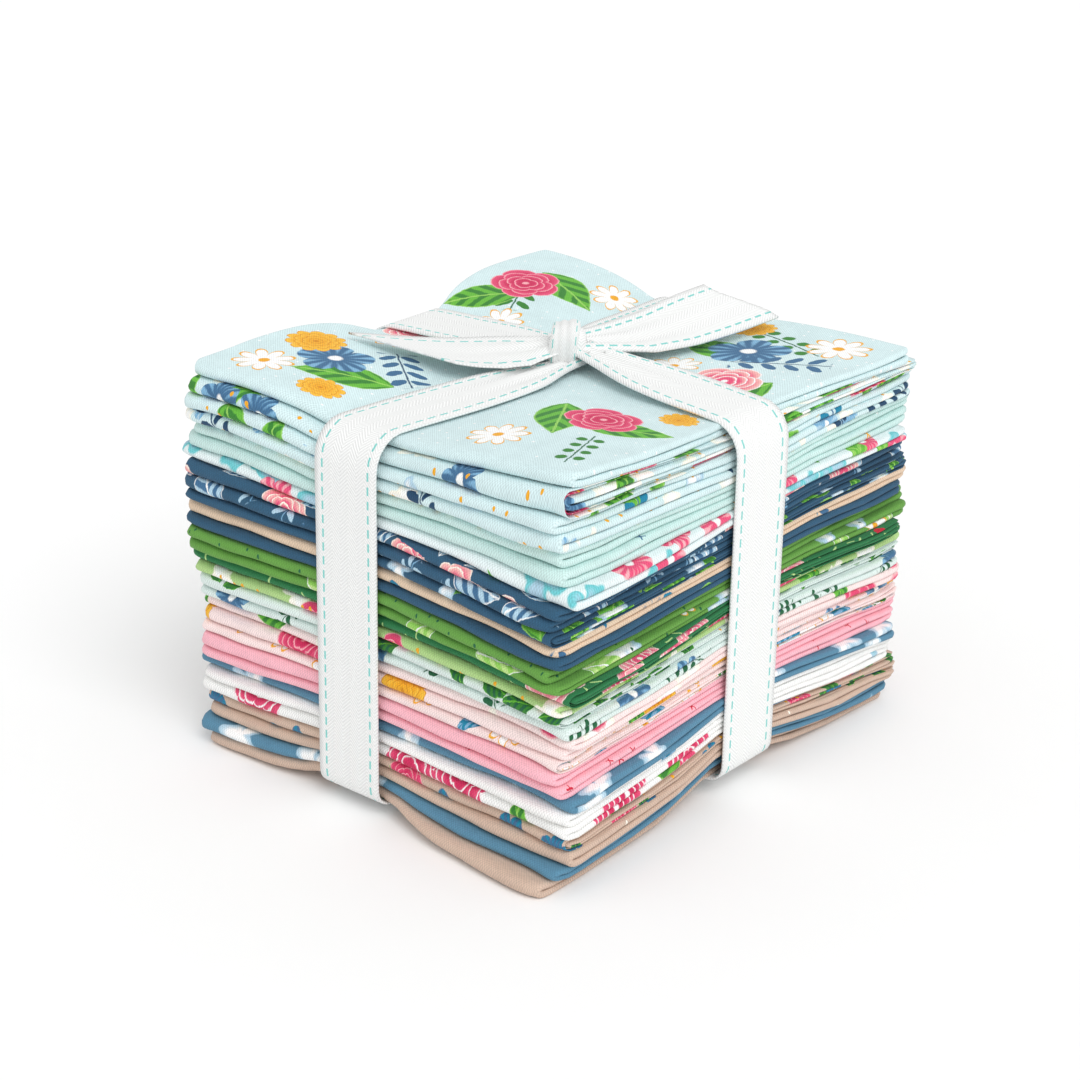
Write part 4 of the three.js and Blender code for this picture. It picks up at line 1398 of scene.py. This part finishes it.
# The herringbone's width and rib, the stitch's half width and half its share of the pitch
HERRINGBONE = 6.0
RIB_PITCH = 1.05
STITCH_HALF = 0.39
STITCH_HALF_SHARE = 0.32
TWILL_SLUB_SCALE = 1.2
TWILL_SHADE = 0.87
TWILL_BUMP = 0.2


def twill(material_name):
    """White herringbone twill with a running stitch along both edges."""
    sizes = sizes_in_mm()
    material = bpy.data.materials.new(material_name)
    material.use_nodes = True
    tree = material.node_tree
    shader = tree.nodes["Principled BSDF"]
    uv = node_of(tree, "ShaderNodeUVMap", uv_map="flat").outputs[0]
    flat = vector_math(tree, "SCALE", uv, 1 / MM)
    x, y = parts_of(tree, flat)
    zigzag = abs((x / HERRINGBONE).fraction() - 0.5) * HERRINGBONE
    ribs = ((zigzag + y) * (2 * math.pi / RIB_PITCH)).sine()
    slub = node_of(tree, "ShaderNodeTexNoise", {"Vector": flat, "Scale": TWILL_SLUB_SCALE, "Detail": 3.0})
    weave = ribs * 0.5 + Reckon(tree, slub.outputs[0])
    width = sizes["tape_width"]
    inset = sizes["stitch_inset"]
    rail = abs(x - inset).least(abs(x - (width - inset)))
    from_stitch = abs((y / sizes["stitch_pitch"]).fraction() - 0.5)
    stitch = (STITCH_HALF - rail).step(0, 0.14) * (STITCH_HALF_SHARE - from_stitch).step(0, 0.04)
    white = ground("tape")
    shaded = tuple(part * TWILL_SHADE for part in white)
    cover = blended(tree, ribs.step(-0.8, 0.6), shaded, white)
    cover = blended(tree, stitch, cover, ground("stitch"))
    feed(tree, shader.inputs["Base Color"], cover)
    bump = node_of(tree, "ShaderNodeBump", {"Strength": 0.6, "Distance": TWILL_BUMP * MM, "Height": weave})
    feed(tree, shader.inputs["Normal"], bump.outputs[0])
    feed(tree, shader.inputs["Roughness"], weave.step(0, 1.4) * 0.15 + 0.75)
    shader.inputs["Specular IOR Level"].default_value = 0.3
    return material


class BUNDLE_OT_tape(bpy.types.Operator):
    """Makes the tape with its two rounds, its knot and its free ends"""

    bl_idname = "bundle.tape"
    bl_label = "Tied tape"

    def execute(self, context):
        sizes = sizes_in_mm()
        grids = [
            band_grid(True),
            band_grid(False),
            tail_grid("left", 0),
            tail_grid("right", 1),
            knot_grid("core"),
            knot_grid("wrap"),
        ]
        leant = [(grid + leaning(grid), flat) for grid, flat in grids]
        tape = sheet_object("tied_tape", leant, sizes["tape_ply"], twill("white_twill_tape"))
        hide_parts("ribbon")
        sizes["tape_width"] * MM
        return {"FINISHED"}


# The stage: the camera's aim, turn, rise, distance and roll, and the soft light

AIM = (-0.00055, -0.00382, 0.05695)
CAMERA_TURN = math.radians(41.25)
CAMERA_RISE = math.radians(22.62)
CAMERA_AWAY = 0.6851
CAMERA_ROLL = math.radians(-0.5)
SENSOR = 36.0
FOCAL_PIXELS = 2426
PHOTO_PIXELS = 1080
LENS = SENSOR * FOCAL_PIXELS / PHOTO_PIXELS
FLOOR_SIZE = 12.0
WORLD_LIGHT = 0.76
KEY_FROM = (0.76, -0.32, 0.92)
KEY_STRENGTH = 1.28
KEY_SPREAD = math.radians(40)


def soft_sun(name, comes_from, strength, spread):
    """An even light from a wide soft source far off."""
    lamp = bpy.data.lights.new(name, "SUN")
    lamp.energy = strength
    lamp.angle = spread
    light = bpy.data.objects.new(name, lamp)
    light.location = comes_from
    light.rotation_euler = (-Vector(comes_from)).to_track_quat("-Z", "Y").to_euler()
    bpy.context.collection.objects.link(light)


def floor_paint():
    material = bpy.data.materials.new("pale_floor")
    material.use_nodes = True
    tree = material.node_tree
    shader = tree.nodes["Principled BSDF"]
    place = node_of(tree, "ShaderNodeTexCoord").outputs["Object"]
    cloud = node_of(tree, "ShaderNodeTexNoise", {"Vector": place, "Scale": 3.0})
    pale = ground("floor")
    cover = blended(tree, cloud.outputs[0], pale, tuple(part * 0.99 for part in pale))
    feed(tree, shader.inputs["Base Color"], cover)
    shader.inputs["Roughness"].default_value = 0.9
    shader.inputs["Specular IOR Level"].default_value = 0.1
    return material


class BUNDLE_OT_stage(bpy.types.Operator):
    """Makes the pale floor, the soft lights and the camera"""

    bl_idname = "bundle.stage"
    bl_label = "Stage"

    def execute(self, context):
        self.camera(context)
        bpy.ops.object.select_all(action="DESELECT")
        bpy.ops.mesh.primitive_plane_add(size=FLOOR_SIZE, location=(0, 0, 0))
        floor = context.active_object
        floor.name = "floor"
        floor.data.materials.append(floor_paint())
        world = bpy.data.worlds.new("studio")
        world.use_nodes = True
        world.node_tree.nodes["Background"].inputs["Color"].default_value = (1, 1, 1, 1)
        world.node_tree.nodes["Background"].inputs["Strength"].default_value = WORLD_LIGHT
        context.scene.world = world
        soft_sun("key_light", KEY_FROM, KEY_STRENGTH, KEY_SPREAD)
        context.scene.view_settings.view_transform = "Standard"
        return {"FINISHED"}

    def camera(self, context):
        lens = bpy.data.cameras.new("photo_camera")
        lens.lens = LENS
        lens.sensor_width = SENSOR
        camera = bpy.data.objects.new("photo_camera", lens)
        rise, turn = CAMERA_RISE, CAMERA_TURN
        back = Vector((math.sin(turn) * math.cos(rise), -math.cos(turn) * math.cos(rise), math.sin(rise)))
        camera.location = Vector(AIM) + back * CAMERA_AWAY
        upright = (-back).to_track_quat("-Z", "Y")
        camera.rotation_euler = (upright @ Quaternion((0, 0, 1), CAMERA_ROLL)).to_euler()
        context.collection.objects.link(camera)
        context.scene.camera = camera


class BUNDLE_PT_panel(bpy.types.Panel):
    """Lists the bundle's pieces, sizes and colours"""

    bl_idname = "BUNDLE_PT_panel"
    bl_label = "Fat quarter bundle"
    bl_space_type = "VIEW_3D"
    bl_region_type = "UI"
    bl_category = "Bundle"

    def draw(self, context):
        for operator in (BUNDLE_OT_stage, BUNDLE_OT_cloths, BUNDLE_OT_tape):
            self.layout.operator(operator.bl_idname)
        for group in (context.scene.bundle_sizes, context.scene.bundle_colours):
            for name in type(group).__annotations__:
                self.layout.prop(group, name)


CLASSES = (
    BundleSizes,
    BundleColours,
    BUNDLE_OT_cloths,
    BUNDLE_OT_tape,
    BUNDLE_OT_stage,
    BUNDLE_PT_panel,
)


def register():
    for cls in CLASSES:
        bpy.utils.register_class(cls)
    bpy.types.Scene.bundle_sizes = PointerProperty(type=BundleSizes)
    bpy.types.Scene.bundle_colours = PointerProperty(type=BundleColours)


def unregister():
    del bpy.types.Scene.bundle_colours
    del bpy.types.Scene.bundle_sizes
    for cls in reversed(CLASSES):
        bpy.utils.unregister_class(cls)


def main():
    register()
    bpy.ops.bundle.stage()
    bpy.ops.bundle.cloths()
    bpy.ops.bundle.tape()


if __name__ == "__main__":
    main()
